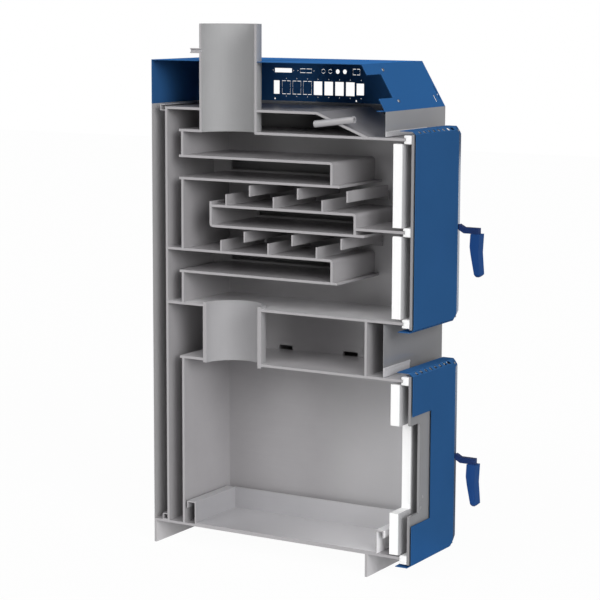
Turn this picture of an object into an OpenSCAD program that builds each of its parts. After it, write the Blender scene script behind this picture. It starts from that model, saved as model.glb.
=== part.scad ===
// Pellet boiler shown as a sectioned model: the half behind the centre plane.
// x runs from the cut face into the kept half, y from the doors to the rear, z up from the floor.

/* [Casing] */
// Cut face to the outer face of the side panel
casing_w = 300; // [290:1:340]
// Front panel to rear panel, outside
casing_d = 642; // [630:1:700]
// Thickness of the casing sheet
casing_t = 1; // [0.8:0.1:1.5]
// Casing's top edge above the water jacket's top plate
casing_over_jacket = 5.6; // [3:0.2:15]
// Width of the side panel's fold behind the doors
casing_fold = 37; // [30:1:37]

/* [Boiler plates] */
// Thickness of every welded boiler plate
plate_t = 6; // [4:0.5:8]
// Height of the plate feet
foot_h = 55; // [40:1:80]
// Side of the water jacket to the outside of the side panel
side_space = 43; // [41:1:49]
// Water space beside the fire side
side_water = 39; // [36:1:42]
// Water space behind the fire side
rear_water = 40; // [30:1:60]
// Space between the rear wall and the rear panel
rear_space = 39; // [30:1:60]
// Front of the water jacket behind the front panel
jacket_front = 44; // [44:1:60]
// Water space over the gas passages
top_water = 46.5; // [35:0.5:60]
// Where the jacket's top bends down towards the front
slope_back = 181; // [170:1:240]
// Reach of the plate tips in front of the front panel
lip_reach = 50; // [48:0.5:50]
// Plate tails behind the rear inner wall
rear_lip = 6; // [3:0.5:12]

/* [Levels] */
// Clear height of the combustion chamber
chamber_h = 412.4; // [400:0.2:450]
// Water space between combustion chamber and upper chamber
port_h = 126.4; // [110:0.2:150]
// Clear height below the lower pocket
lower_passage_h = 73; // [60:0.5:90]
// Clear height of each gas passage
passage_h = 55.8; // [54:0.2:64]
// Clear height inside the lower and upper water pockets
pocket_h = 47.5; // [38:0.5:54]
// Clear height inside the middle water pocket
mid_pocket_h = 42.7; // [38:0.5:54]

/* [Water pockets] */
// Front face of the upper pocket
upper_pocket_front = 138; // [125:1:170]
// Front face of the middle pocket
mid_pocket_front = 75.6; // [70:0.2:100]
// Gas passage behind the middle pocket
mid_pocket_gap = 75; // [51:1:89]
// Front face of the lower pocket
lower_pocket_front = 136; // [125:1:170]
// Floor tip in front of the upper pocket
upper_floor_lip = 18.5; // [5:0.5:25]
// Floor tip in front of the middle pocket
mid_floor_lip = 20.6; // [5:0.2:25]
// Floor tip in front of the lower pocket
lower_floor_lip = 11.4; // [5:0.2:25]
// Lip of the middle pocket's rear wall above its top
mid_rear_lip = 7.3; // [0:0.1:12]
// Outer radius of the bent plate corners
bend_r = 9; // [8:0.5:14]
// Divider plate above the underside of the middle pocket
divider_up = 15.3; // [12:0.1:25]
// Margin round the pocket mouths in the side wall
mouth_margin = 5; // [4:0.5:16]

/* [Exhaust and flue] */
// Outer radius of the exhaust tube
exhaust_r = 82.5; // [70:0.5:90]
// Wall of the exhaust tube
exhaust_wall = 10; // [6:0.5:12]
// Centre of the exhaust tube before the rear inner wall
exhaust_to_rear = 137.5; // [121:0.5:171]
// Tube's ends beyond the plates that it passes
exhaust_over = 4.8; // [2:0.2:10]
// Outer radius of the flue
flue_r = 80; // [65:0.5:90]
// Wall of the flue
flue_wall = 6; // [3:0.5:8]
// Centre of the flue before the rear inner wall
flue_to_rear = 127; // [111:1:171]
// Flue above the control cover
flue_over = 87; // [80:1:160]
// Outer radius of the sensor sleeve on the flue
sleeve_r = 6; // [5:0.5:9]
// Bore radius of the sensor sleeve
sleeve_bore_r = 3.5; // [2.5:0.25:4]
// Reach of the sensor sleeve behind the flue
sleeve_len = 26; // [15:1:50]
// Sensor sleeve below the flue's top
sleeve_drop = 64; // [30:1:70]

/* [Thermowell] */
// Outer radius of the thermowell
well_r = 8; // [6.5:0.25:10]
// Bore radius of the thermowell
well_bore_r = 4.5; // [3:0.25:5]
// Length of the thermowell
well_len = 105; // [90:1:120]
// Depth of the bore
well_depth = 98; // [60:1:99]
// Tilt of the thermowell, rising towards the front
well_tilt = 7.4; // [6:0.1:10]
// Mouth of the thermowell behind the front panel
well_y = 81; // [76:1:95]
// Mouth of the thermowell above the gas passages' top plate
well_up = 38; // [36:0.5:41]

/* [Turbulators] */
// Height of one turbulator plate
turb_h = 26; // [20:0.5:26.5]
// Thickness of one turbulator plate
turb_t = 4; // [2:0.5:5]
// Gap beside the turbulator plates
turb_gap = 9; // [7:1:56]
// Foremost upper turbulator plate behind the front panel
turb_front = 99; // [99:1:179]
// Number of turbulator plates in a passage
turb_count = 6; // [2:2:6]
// Gap over the hanging turbulator plates
turb_hang = 5.5; // [3:0.5:6]
// Rearmost upper turbulator plate before the rear inner wall
upper_turb_gap = 122; // [101:1:141]
// Rearmost lower turbulator plate before the rear inner wall
lower_turb_gap = 107.3; // [91:0.1:126]

/* [Control cover] */
// Thickness of the cover sheet
cover_t = 1.5; // [1:0.1:2]
// Height of the cover above the casing
cover_h = 106; // [100:1:130]
// Cover's side beyond the casing's side
cover_over = 1; // [0.5:0.5:3]
// Top of the slanted front behind the front panel
cover_slope = 64; // [50:1:90]
// Bottom of the slanted front behind the front panel
cover_front = 1; // [0:0.5:5]
// Width of the folded edge under the slanted front
cover_fold = 23.5; // [12:0.5:30]
// Half width of the display opening
display_w = 67; // [40:1:75]
// Bottom of the display opening above the casing
display_low = 29; // [22:1:34]
// Top of the display opening above the casing
display_high = 82; // [70:1:84]
// Gap round the flue in the cover
flue_gap = 1.5; // [1:0.5:5]
// Distance from one punched field to the next in the cover's side
field_pitch = 30.4; // [28:0.2:34]
// Width of a punched field
field_w = 24.6; // [15:0.2:26]
// Height of a punched field
field_h = 33.5; // [20:0.5:36]
// Width of the slit round a knock-out
slit_w = 1.2; // [0.8:0.1:2]
// Radius of a cable hole
cable_r = 5.6; // [3:0.2:7]

/* [Doors] */
// Edge of a door cover to the outside of the side panel
door_side = 39; // [39:0.5:42]
// Width of the side bevel
door_bevel_w = 43; // [39:0.5:47]
// Front face of the door covers before the front panel
door_face = 78; // [78:0.5:84]
// Depth of the side bevel
door_bevel = 16; // [10:0.5:18]
// Depth of the bevels along top and bottom
door_edge_bevel = 11; // [6:0.5:12]
// Height of the bevels along top and bottom
door_edge_h = 8; // [5:0.5:8]
// Rear edge of a door cover before the front panel
door_back = 36; // [34:0.5:40]
// Thickness of the door cover sheet
door_sheet = 1.5; // [1:0.1:2]
// Radius of the door cover's corners
door_corner = 30; // [20:1:40]
// Door cover beyond the middle of the plates it closes
door_over = 20.2; // [19.5:0.1:24]
// Extra reach of the lower door cover at the bottom
lower_door_drop = 1.3; // [0:0.1:4]
// Side of the square gasket rope
gasket = 20; // [18:0.5:20]
// Plate edge inside the door cover
door_inset = 8; // [7.5:0.5:10]
// Thickness of the insulation boards
board_t = 25; // [20:0.5:25]
// Inner face of the insulation boards before the front panel
board_y = 20; // [18:0.5:21]
// Insulation boards' edge to the inner side wall
board_gap = 10; // [9:1:26]
// Half width of the window in the lower door cover
window_w = 94; // [70:1:110]
// Height of the window in the lower door cover
window_h = 258; // [230:1:280]
// Half width of the burner opening in the lower door plate
burner_w = 48; // [30:1:55]
// Height of the burner opening in the lower door plate
burner_h = 214; // [180:1:220]
// Half width of the burner opening in the insulation
burner_board_w = 60; // [56:1:80]
// Height of the burner opening in the insulation
burner_board_h = 207; // [180:1:220]
// Distance from one vent to the next
vent_pitch = 24; // [20:1:26]
// Width of a vent
vent_w = 11; // [6:0.5:14]
// Height of a vent
vent_h = 4; // [2:0.5:5]
// Number of small vents
vent_count = 6; // [1:1:6]

/* [Hinges] */
// Hinge axis to the outside of the side panel
hinge_side = 25; // [20:0.5:25]
// Hinge axis before the front panel
hinge_y = 18; // [16:0.5:20]
// Radius of the hinge pins
pin_r = 5; // [4:0.25:6]
// Radius of the hinge eyes
eye_r = 9; // [8:0.25:10]
// Distance between the two hinges of a door
hinge_span = 300; // [200:5:320]
// Height of a hinge strap
strap_h = 20; // [12:1:30]
// Thickness of a hinge lug
lug_h = 8; // [5:0.5:12]
// Thickness of the hinge straps
strap_t = 6; // [5:0.5:8]

/* [Handles] */
// Spindle beyond the inner side wall
spindle_out = 22; // [22:0.5:26]
// Spindle below the middle of a door cover
spindle_drop = 6.5; // [0:0.5:30]
// Radius of the spindle
spindle_r = 6; // [4:0.25:6.5]
// Width of the lever bar
lever_w = 14; // [10:0.5:16]
// Drop of the lever's crank
lever_drop = 7; // [0:0.5:12]
// Length of the lever's crank
lever_crank = 13; // [8:0.5:20]
// Front end of the lever before the front panel
lever_end = 130; // [124:0.5:134]
// Width of the grip
grip_w = 26; // [18:0.5:32]
// Length of the grip
grip_l = 102; // [80:1:140]
// Thickness of the latch tongue
tongue_t = 6; // [4:0.5:8]
// Reach of the latch tongue from the spindle
tongue_l = 22; // [18:0.5:22]

/* [Ash pan] */
// Thickness of the ash pan's sheet
pan_t = 3; // [2:0.5:4]
// Gap between the ash pan and the inner side wall
pan_gap = 21; // [6:1:56]
// Height of the ash pan
pan_h = 56; // [40:1:80]
// Front wall of the ash pan behind the front panel
pan_front = 13; // [12:0.5:30]
// Ash pan's rear end to the rear inner wall
pan_rear_gap = 29; // [29:1:98]
// Width of the pan's front hem
pan_front_hem = 18; // [12:0.5:18]
// Width of the pan's rear hem
pan_rear_hem = 22; // [12:0.5:24]
// Drop of the pan's hems
pan_hem_drop = 17; // [8:0.5:30]

/* [Sockets] */
// Outer radius of the flow and return sockets
socket_r = 25; // [23:0.5:30]
// Bore radius of the flow and return sockets
socket_bore_r = 19.5; // [15:0.5:20.5]
// Socket's reach behind the rear panel
socket_reach = 38; // [20:1:60]
// Flow and return sockets to the side of the water jacket
socket_side = 107; // [87:1:147]
// Flow socket below the jacket's top plate
flow_drop = 68; // [40:1:90]
// Return socket above the base plate
return_up = 69; // [45:1:100]
// Outer radius of the drain socket
drain_r = 14; // [12:0.5:18]
// Bore radius of the drain socket
drain_bore_r = 9.3; // [7:0.1:10]
// Drain socket's reach behind the rear panel
drain_reach = 23; // [12:1:50]
// Drain socket to the side of the water jacket
drain_side = 35; // [27:1:57]
// Drain socket above the base plate
drain_up = 34; // [20:1:60]

/* [Hidden] */
$fn = 64;
// Faces in a quarter of a bent corner
bend_steps = 6;
// Overrun of every cut
over = 5;
// Gap between pieces that move past each other
gap = 0.3;
// Radial play of a pin or a spindle
running = 0.05;

// Levels, from the floor up
base_top = foot_h + plate_t;
ceiling_z = base_top + chamber_h;
ceiling_top = ceiling_z + plate_t;
floor_z = ceiling_top + port_h;
floor_top = floor_z + plate_t;
lower_pocket_z = floor_top + lower_passage_h;
lower_pocket_top = lower_pocket_z + pocket_h + 2 * plate_t;
mid_pocket_z = lower_pocket_top + passage_h;
mid_pocket_top = mid_pocket_z + mid_pocket_h + 2 * plate_t;
upper_pocket_z = mid_pocket_top + passage_h;
upper_pocket_top = upper_pocket_z + pocket_h + 2 * plate_t;
gas_top_z = upper_pocket_top + passage_h;
gas_top = gas_top_z + plate_t;
jacket_top_z = gas_top + top_water;
jacket_top = jacket_top_z + plate_t;
casing_top = jacket_top + casing_over_jacket;
cover_top = casing_top + cover_h;
flue_top = cover_top + flue_over;
divider_z = mid_pocket_z + divider_up;

// Places across and along the boiler
jacket_w = casing_w - side_space;
side_out = jacket_w - plate_t;
side_x = side_out - side_water;
chamber_w = side_x - plate_t;
panel_x = casing_w - casing_t;
fold_x = panel_x - casing_fold;
rear_out = casing_d - rear_space;
rear_out_in = rear_out - plate_t;
rear_in = rear_out_in - rear_water;
rear_in_face = rear_in - plate_t;
jacket_back = jacket_front + plate_t;
tail_y = rear_in + rear_lip;
mid_pocket_back = rear_in_face - mid_pocket_gap;
exhaust_y = rear_in_face - exhaust_to_rear;
flue_y = rear_in_face - flue_to_rear;
turb_w = chamber_w - turb_gap;
socket_x = jacket_w - socket_side;
drain_x = jacket_w - drain_side;
pan_w = chamber_w - pan_gap;
pan_l = rear_in_face - pan_rear_gap - pan_front;
upper_turb_y = rear_in_face - upper_turb_gap;
lower_turb_y = rear_in_face - lower_turb_gap;
turb_pitch = (upper_turb_y - turb_front) / (turb_count - 1);

// Sloping part of the jacket's top
slope_start = jacket_front + plate_t / 4;
slope_a = atan2(jacket_top - gas_top, slope_back - slope_start);
slope_foot = slope_start + plate_t / sin(slope_a);
slope_bend = slope_back + plate_t * tan(slope_a / 2);

// Door sections
door_w = casing_w - door_side;
door_flat = door_w - door_bevel_w;
board_w = chamber_w - board_gap;
hinge_x = casing_w - hinge_side;
spindle_x = chamber_w + spindle_out;
plate_face = board_y + board_t + gasket + casing_t;
plate_front = plate_face + plate_t;
gasket_y = plate_face - gasket;
bevel_a = atan2(door_bevel, door_w - door_flat);
upper_door_low = floor_z + plate_t / 2 - door_over;
upper_door_high = gas_top_z + plate_t / 2 + door_over;
lower_door_low = base_top - plate_t / 2 - door_over - lower_door_drop;
lower_door_high = ceiling_z + plate_t / 2 + door_over;
upper_door_mid = (upper_door_low + upper_door_high) / 2;
lower_door_mid = (lower_door_low + lower_door_high) / 2;
door_plate_w = spindle_x;
gasket_w = chamber_w + plate_t / 2 + gasket / 2 - casing_t;

// Handle and latch places
upper_spindle_z = upper_door_mid - spindle_drop;
lower_spindle_z = lower_door_mid - spindle_drop;
bracket_t = plate_t;
bracket_face = plate_face - plate_t / 1.5;
tongue_y = gasket_y + plate_t / 1.5;

// Outline of a grip: down its rear edge and up its front edge, as shares of the lever's
// reach and of the grip's length
grip_y_shares = [0.862, 0.85, 0.875, 0.946, 0.977, 1.008, 1.058, 1.025, 1.043];
grip_z_shares = [0, 0.29, 0.5, 0.93, 1, 1, 0.94, 0.43, 0];

// The part stands with the middle of its outline over the origin
rear_end = casing_d + socket_reach;
grip_front = max(grip_y_shares) * lever_end;
mid_x = (casing_w + cover_over - well_r) / 2;
mid_y = (rear_end - grip_front) / 2;

// Places of the shoulder bolts in the doors, as shares of the board's width and height
bolt_x_shares = [0.6, 0.9];
bolt_z_shares = [0.14, 0.86];

// Moves a piece from the boiler's cut-face corner to the part's own origin
module placed() {
    translate([-mid_x, -mid_y, 0]) children();
}

// Block between two corners
module block(a, b) {
    translate(a) cube([b[0] - a[0], b[1] - a[1], b[2] - a[2]]);
}

// Outline in y and z, drawn out from x0 to x1
module profile(x0, x1) {
    translate([x0, 0, 0]) rotate([90, 0, 90]) linear_extrude(height = x1 - x0) children();
}

// Outline in x and z, drawn out from y0 to y1
module face(y0, y1) {
    translate([0, y1, 0]) rotate([90, 0, 0]) linear_extrude(height = y1 - y0) children();
}

// Outline in x and y, drawn out from z0 to z1
module plan(z0, z1) {
    translate([0, 0, z0]) linear_extrude(height = z1 - z0) children();
}

// Round bar along y
module rod_y(x, z, r, y0, y1) {
    translate([x, y1, z]) rotate([90, 0, 0]) cylinder(h = y1 - y0, r = r);
}

// Points on an arc
function arc(cy, cz, r, a0, a1) =
    [for (i = [0 : bend_steps]) [cy + r * cos(a0 + (a1 - a0) * i / bend_steps),
                                 cz + r * sin(a0 + (a1 - a0) * i / bend_steps)]];

// Top plate that bends down into a front wall, outline in y and z
module bent_front(front, back, low, high) {
    polygon(concat([[back, high - plate_t], [back, high]],
        arc(front + bend_r, high - bend_r, bend_r, 90, 180),
        [[front, low], [front + plate_t, low]],
        arc(front + bend_r, high - bend_r, bend_r - plate_t, 180, 90)));
}

module base_plate() {
    color("#A3A2A5") placed() plan(foot_h, base_top)
        polygon([[0, -gasket_y + gap], [side_x, -gasket_y + gap], [side_x, casing_t],
            [casing_w, casing_t], [casing_w, casing_d], [0, casing_d]]);
}

module rear_foot() {
    color("#97979A") placed() block([0, casing_d - plate_t, 0], [casing_w, casing_d, foot_h]);
}

module front_foot() {
    color("#97979A") placed()
        block([0, jacket_front - plate_t, 0], [casing_w, jacket_front, foot_h]);
}

module rear_outer_wall() {
    color("#8E8D91") placed() difference() {
        block([0, rear_out_in, base_top], [jacket_w, rear_out, jacket_top_z]);
        socket_shapes(over, false);
    }
}

module rear_inner_wall() {
    color("#97969A") placed() {
        block([0, rear_in_face, base_top], [chamber_w, rear_in, ceiling_z]);
        block([0, rear_in_face, floor_top], [chamber_w, rear_in, lower_pocket_z]);
        block([0, rear_in_face, lower_pocket_top], [chamber_w, rear_in, upper_pocket_z]);
        block([0, rear_in_face, upper_pocket_top], [chamber_w, rear_in, gas_top_z]);
    }
}

// Water notches at the foot of the side wall, over the combustion chamber
notch_w = 40;
notch_h = 11;
notch_ys = [181, 365];

module side_inner_wall() {
    color("#99989C") placed() difference() {
        profile(chamber_w, side_x) polygon([
            [-gasket_y + gap, base_top], [rear_out_in, base_top], [rear_out_in, gas_top],
            [-gasket_y + gap, gas_top], [-gasket_y + gap, floor_z], [jacket_back, floor_z],
            [jacket_back, ceiling_top], [-gasket_y + gap, ceiling_top]]);
        pocket_mouth(upper_pocket_front + plate_t, rear_in_face, upper_pocket_z, pocket_h);
        pocket_mouth(mid_pocket_front + plate_t, mid_pocket_back - plate_t,
            mid_pocket_z, mid_pocket_h);
        pocket_mouth(lower_pocket_front + plate_t, rear_in_face, lower_pocket_z, pocket_h);
        for (y = notch_ys)
            block([chamber_w - over, y, ceiling_top],
                [side_x + over, y + notch_w, ceiling_top + notch_h]);
    }
}

// Opening from a water pocket to the water space beside it
module pocket_mouth(y0, y1, z, h) {
    block([chamber_w - over, y0 + mouth_margin, z + plate_t + mouth_margin],
        [side_x + over, y1 - mouth_margin, z + plate_t + h - mouth_margin]);
}

module side_outer_wall() {
    color("#8B8A8E") placed() {
        profile(side_out, jacket_w) polygon([
            [jacket_front, base_top], [rear_out_in, base_top], [rear_out_in, jacket_top_z],
            [slope_bend, jacket_top_z], [slope_foot, gas_top], [jacket_front, gas_top]]);
        block([side_x, jacket_front, base_top], [side_out, jacket_back, gas_top]);
    }
}

module jacket_top_plate() {
    color("#9C9B9F") placed() difference() {
        profile(0, jacket_w) polygon([
            [slope_start, gas_top], [slope_foot, gas_top], [slope_bend, jacket_top_z],
            [rear_out, jacket_top_z], [rear_out, jacket_top], [slope_back, jacket_top]]);
        translate([0, flue_y, jacket_top_z - over])
            cylinder(h = plate_t + 2 * over, r = flue_r);
        well_axis() translate([0, 0, -well_len]) cylinder(h = well_len, r = well_r);
    }
}

module gas_top_plate() {
    color("#9C9B9F") placed() difference() {
        block([0, -lip_reach, gas_top_z], [chamber_w, tail_y, gas_top]);
        translate([0, flue_y, gas_top_z - over])
            cylinder(h = plate_t + 2 * over, r = flue_r);
    }
}

module upper_pocket_shell() {
    color("#9B9A9E") placed() profile(0, chamber_w)
        bent_front(upper_pocket_front, tail_y, upper_pocket_z + plate_t, upper_pocket_top);
}

module upper_pocket_floor() {
    color("#97969A") placed()
        block([0, upper_pocket_front - upper_floor_lip, upper_pocket_z],
            [chamber_w, tail_y, upper_pocket_z + plate_t]);
}

module middle_pocket_top() {
    color("#9B9A9E") placed() profile(0, chamber_w)
        bent_front(mid_pocket_front, mid_pocket_back - plate_t,
            mid_pocket_z + plate_t, mid_pocket_top);
}

// Floor that bends up into the pocket's rear wall
module middle_pocket_bottom() {
    color("#97969A") placed() profile(0, chamber_w) polygon(concat(
        [[mid_pocket_front - mid_floor_lip, mid_pocket_z + plate_t],
            [mid_pocket_front - mid_floor_lip, mid_pocket_z]],
        arc(mid_pocket_back - bend_r, mid_pocket_z + bend_r, bend_r, 270, 360),
        [[mid_pocket_back, mid_pocket_top + mid_rear_lip],
            [mid_pocket_back - plate_t, mid_pocket_top + mid_rear_lip]],
        arc(mid_pocket_back - bend_r, mid_pocket_z + bend_r, bend_r - plate_t, 360, 270)));
}

module divider_plate() {
    color("#9C9B9F") placed()
        block([0, -lip_reach, divider_z], [chamber_w, mid_pocket_front, divider_z + plate_t]);
}

module lower_pocket_shell() {
    color("#9B9A9E") placed() profile(0, chamber_w)
        bent_front(lower_pocket_front, rear_out_in, lower_pocket_z + plate_t, lower_pocket_top);
}

module lower_pocket_floor() {
    color("#97969A") placed()
        block([0, lower_pocket_front - lower_floor_lip, lower_pocket_z],
            [chamber_w, tail_y, lower_pocket_z + plate_t]);
}

module upper_chamber_floor() {
    color("#97969A") placed() difference() {
        block([0, -lip_reach, floor_z], [chamber_w, rear_out_in, floor_top]);
        translate([0, exhaust_y, floor_z - over])
            cylinder(h = plate_t + 2 * over, r = exhaust_r);
    }
}

module combustion_ceiling() {
    color("#97969A") placed() difference() {
        block([0, -lip_reach, ceiling_z], [chamber_w, tail_y, ceiling_top]);
        translate([0, exhaust_y, ceiling_z - over])
            cylinder(h = plate_t + 2 * over, r = exhaust_r);
    }
}

module exhaust_tube() {
    color("#8F8E92") placed() half_tube(exhaust_y, exhaust_r, exhaust_wall,
        ceiling_z - exhaust_over, floor_top + exhaust_over);
}

// Upright tube with its front half cut away
module half_tube(y, r, wall, z0, z1) {
    translate([0, y, z0]) difference() {
        cylinder(h = z1 - z0, r = r);
        translate([0, 0, -over]) cylinder(h = z1 - z0 + 2 * over, r = r - wall);
        block([-r - over, -r - over, -over], [0, r + over, z1 - z0 + over]);
    }
}

module front_water_wall() {
    color("#8B8A8E") placed()
        block([0, jacket_front, ceiling_top], [side_x, jacket_back, floor_z]);
}

module flue_pipe() {
    color("#A0A0A2") placed() difference() {
        half_tube(flue_y, flue_r, flue_wall, gas_top_z, flue_top);
        rod_y(0, flue_top - sleeve_drop, sleeve_r, flue_y, flue_y + flue_r + over);
    }
}

module flue_sensor_sleeve() {
    color("#B0AEB0") placed() intersection() {
        difference() {
            rod_y(0, flue_top - sleeve_drop, sleeve_r,
                flue_y + flue_r - flue_wall, flue_y + flue_r + sleeve_len);
            rod_y(0, flue_top - sleeve_drop, sleeve_bore_r,
                flue_y, flue_y + flue_r + sleeve_len + over);
        }
        block([0, flue_y, flue_top - 2 * sleeve_drop], [flue_r, casing_d, flue_top]);
    }
}

// Puts its children on the thermowell's axis, z pointing out of the mouth
module well_axis() {
    translate([0, well_y, gas_top + well_up]) rotate([90 - well_tilt, 0, 0]) children();
}

module thermowell() {
    color("#A9A8AB") placed() well_axis() difference() {
        translate([0, 0, -well_len]) cylinder(h = well_len, r = well_r);
        translate([0, 0, -well_depth]) cylinder(h = well_depth + over, r = well_bore_r);
    }
}

module upper_turbulators() {
    color("#A3A2A6") placed() turbulators(upper_turb_y, mid_pocket_top, upper_pocket_z);
}

module lower_turbulators() {
    color("#A3A2A6") placed() turbulators(lower_turb_y, lower_pocket_top, mid_pocket_z);
}

// Plates that stand and hang by turns, joined by a rail along the side wall
module turbulators(y_first, z_low, z_high) {
    y_last = y_first - (turb_count - 1) * turb_pitch;
    for (i = [0 : turb_count - 1]) {
        y = y_first - i * turb_pitch;
        z = i % 2 == 0 ? z_low : z_high - turb_hang - turb_h;
        block([0, y - turb_t / 2, z], [turb_w, y + turb_t / 2, z + turb_h]);
    }
    block([turb_w, y_last - turb_t / 2, z_low + turb_h / 2],
        [turb_w + turb_t, y_first + turb_t / 2, z_high - turb_hang - turb_h / 2]);
}

module casing_rear() {
    color("#84858A") placed() difference() {
        block([0, casing_d - casing_t, base_top],
            [panel_x, casing_d, casing_top]);
        socket_shapes(2 * casing_t, true);
        for (z = screw_heights)
            rod_y(screw_x, z, screw_r, casing_d - over, casing_d + over);
    }
}

module casing_side() {
    fold_y = casing_d - 2 * casing_t;
    color("#84858A") placed() difference() {
        union() {
            block([panel_x, 0, base_top], [casing_w, casing_d, casing_top]);
            block([fold_x, 0, base_top], [panel_x, casing_t, middle_panel_low]);
            block([fold_x, 0, middle_panel_high], [panel_x, casing_t, top_panel_low]);
            block([panel_x - casing_fold, fold_y, base_top],
                [panel_x, fold_y + casing_t, casing_top]);
        }
        for (z = screw_heights)
            rod_y(screw_x, z, screw_r, fold_y - over, casing_d - casing_t);
    }
}

// Front panels: one above the upper door, one between the doors
top_panel_low = gas_top + casing_t * 1.8;
middle_panel_low = ceiling_top + casing_t;
middle_panel_high = floor_z - casing_t * 1.8;

module casing_front_top() {
    color("#87878A") placed()
        block([0, 0, top_panel_low], [panel_x, casing_t, casing_top]);
}

module casing_front_middle() {
    color("#87878A") placed()
        block([0, 0, middle_panel_low], [panel_x, casing_t, middle_panel_high]);
}

// Screws that hold the rear panel to the side panel's fold
screw_r = 2;
screw_head_r = 4.5;
screw_head_h = 2;
screw_x = panel_x - casing_fold / 2;
screw_heights = [for (share = [0.06, 0.35, 0.65, 0.94])
    base_top + share * (casing_top - base_top)];

module rear_panel_screws() {
    color("#6E6F73") placed() for (z = screw_heights) {
        rod_y(screw_x, z, screw_r, casing_d - 2 * casing_t - screw_head_h, casing_d);
        rod_y(screw_x, z, screw_head_r, casing_d, casing_d + screw_head_h);
    }
}

// Folded rails on the rear wall that keep the casing off the jacket
spacer_d = 14;
spacer_h = 15.5;
spacer_t = 2;

module casing_spacers() {
    color("#8A898C") placed()
        for (z = [base_top, casing_top - spacer_h]) difference() {
            block([0, rear_out, z], [jacket_w, rear_out + spacer_d, z + spacer_h]);
            block([-over, rear_out - over, z + spacer_t],
                [jacket_w + over, rear_out + spacer_d - spacer_t, z + spacer_h - spacer_t]);
        }
}

// Control cover: strip outline in y and z, then the punched side
module control_cover() {
    slope_l = norm([cover_slope - cover_front, cover_h]);
    lean = atan2(cover_h, cover_slope - cover_front);
    side_in = casing_w + cover_over - cover_t;
    inner_back = casing_d - cover_t;
    inner_high = cover_top - cover_t;
    inner_slope = cover_slope + cover_t * tan(lean / 2);
    inner_low = cover_front + cover_t / tan(lean / 2);
    color("#2C588A") placed() difference() {
        union() {
            profile(0, side_in) polygon([
                [casing_d, casing_top], [casing_d, cover_top], [cover_slope, cover_top],
                [cover_front, casing_top], [cover_front + cover_fold, casing_top],
                [cover_front + cover_fold, casing_top + cover_t],
                [inner_low, casing_top + cover_t], [inner_slope, inner_high],
                [inner_back, inner_high], [inner_back, casing_top]]);
            profile(side_in, side_in + cover_t) polygon([
                [casing_d, casing_top], [casing_d, cover_top], [cover_slope, cover_top],
                [cover_front, casing_top]]);
        }
        translate([0, flue_y, cover_top - over])
            cylinder(h = 2 * over, r = flue_r + flue_gap);
        slope_cuts(slope_l, lean);
        side_cuts(side_in);
    }
}

// Openings in the slanted front, drawn on its own plane from the bottom edge up
display_hole_r = 2.5;
display_hole_out = 17;
display_hole_past = 10;
strap_slot = [5, 18];
strap_slot_side = 29;
edge_slot = [5, 36];
edge_slot_side = 7;
module slope_cuts(slope_l, lean) {
    up = slope_l / cover_h;
    translate([0, cover_front, casing_top]) rotate([lean, 0, 0])
        translate([0, 0, -over]) linear_extrude(height = 2 * over) {
            translate([-over, display_low * up])
                square([display_w + over, (display_high - display_low) * up]);
            for (h = [display_low * up - display_hole_past,
                    display_high * up + display_hole_past])
                translate([display_w + display_hole_out, h]) circle(r = display_hole_r);
            translate([casing_w - strap_slot_side, display_low * up * 0.67])
                square(strap_slot, center = true);
            translate([casing_w - edge_slot_side, display_low * up * 1.15])
                square(edge_slot, center = true);
        }
}

// Punched fields and knock-outs in the cover's side, y from the rear of the row forwards
row_y = 470.4;
row_z_share = 0.315;
top_row_z_share = 0.712;
dot_r = 1.1;
module side_cuts(side_in) {
    row_z = casing_top + row_z_share * cover_h;
    top_z = casing_top + top_row_z_share * cover_h;
    first = row_y - field_pitch * 0.92;
    profile(side_in - over, side_in + cover_t + over) {
        field(row_y, row_z, field_w * 0.7, field_h);
        for (i = [0 : 6]) {
            if (i < 3) knock_out(first - i * field_pitch, row_z, field_w, field_h);
            else field(first - i * field_pitch, row_z, field_w, field_h);
        }
        field(first - 6.92 * field_pitch, row_z, field_w * 0.86, field_h * 0.85);
        for (i = [0 : 7], s = [-1, 1])
            translate([first - i * field_pitch, row_z + s * field_h * 0.66]) circle(r = dot_r);
        field(row_y - 0.64 * field_pitch, top_z, field_w * 2.03, field_h * 0.32);
        knock_out(row_y - 2.78 * field_pitch, top_z, field_w * 1.37, field_h * 0.32);
        for (i = [0 : 3], s = [-1, 1])
            translate([row_y - (i < 2 ? 0.64 : 2.78) * field_pitch
                + s * field_w * (i < 2 ? 1.2 : 0.93), top_z]) circle(r = dot_r);
        for (i = [0 : 1]) {
            knock_out_round(row_y - (4.41 + 0.65 * i) * field_pitch, top_z);
            translate([row_y - (5.75 + 0.66 * i) * field_pitch, top_z]) circle(r = cable_r);
        }
        knock_out(row_y - 7.48 * field_pitch, top_z, field_w * 0.82, field_h * 0.45);
        for (y = [row_y + field_w * 0.19, row_y - 7.48 * field_pitch])
            translate([y, casing_top + field_h * 0.15]) circle(r = 2 * dot_r);
        slot_up = field_h * 0.53;
        translate([cover_front + slot_up + field_w * 0.35, casing_top + slot_up])
            square([field_w * 0.55, field_h * 0.66], center = true);
    }
}

// Open rectangular field
module field(y, z, w, h) {
    translate([y, z]) square([w, h], center = true);
}

// Field left in place by two webs across its slit
module knock_out(y, z, w, h) {
    difference() {
        field(y, z, w, h);
        field(y, z, w - 2 * slit_w, h - 2 * slit_w);
        field(y, z, w + 2 * slit_w, 2 * slit_w);
        field(y, z, 2 * slit_w, h + 2 * slit_w);
    }
}

// Round field left in place by two webs
module knock_out_round(y, z) {
    difference() {
        translate([y, z]) circle(r = cable_r);
        translate([y, z]) circle(r = cable_r - slit_w);
        field(y, z, 3 * cable_r, 2 * slit_w);
    }
}

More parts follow.
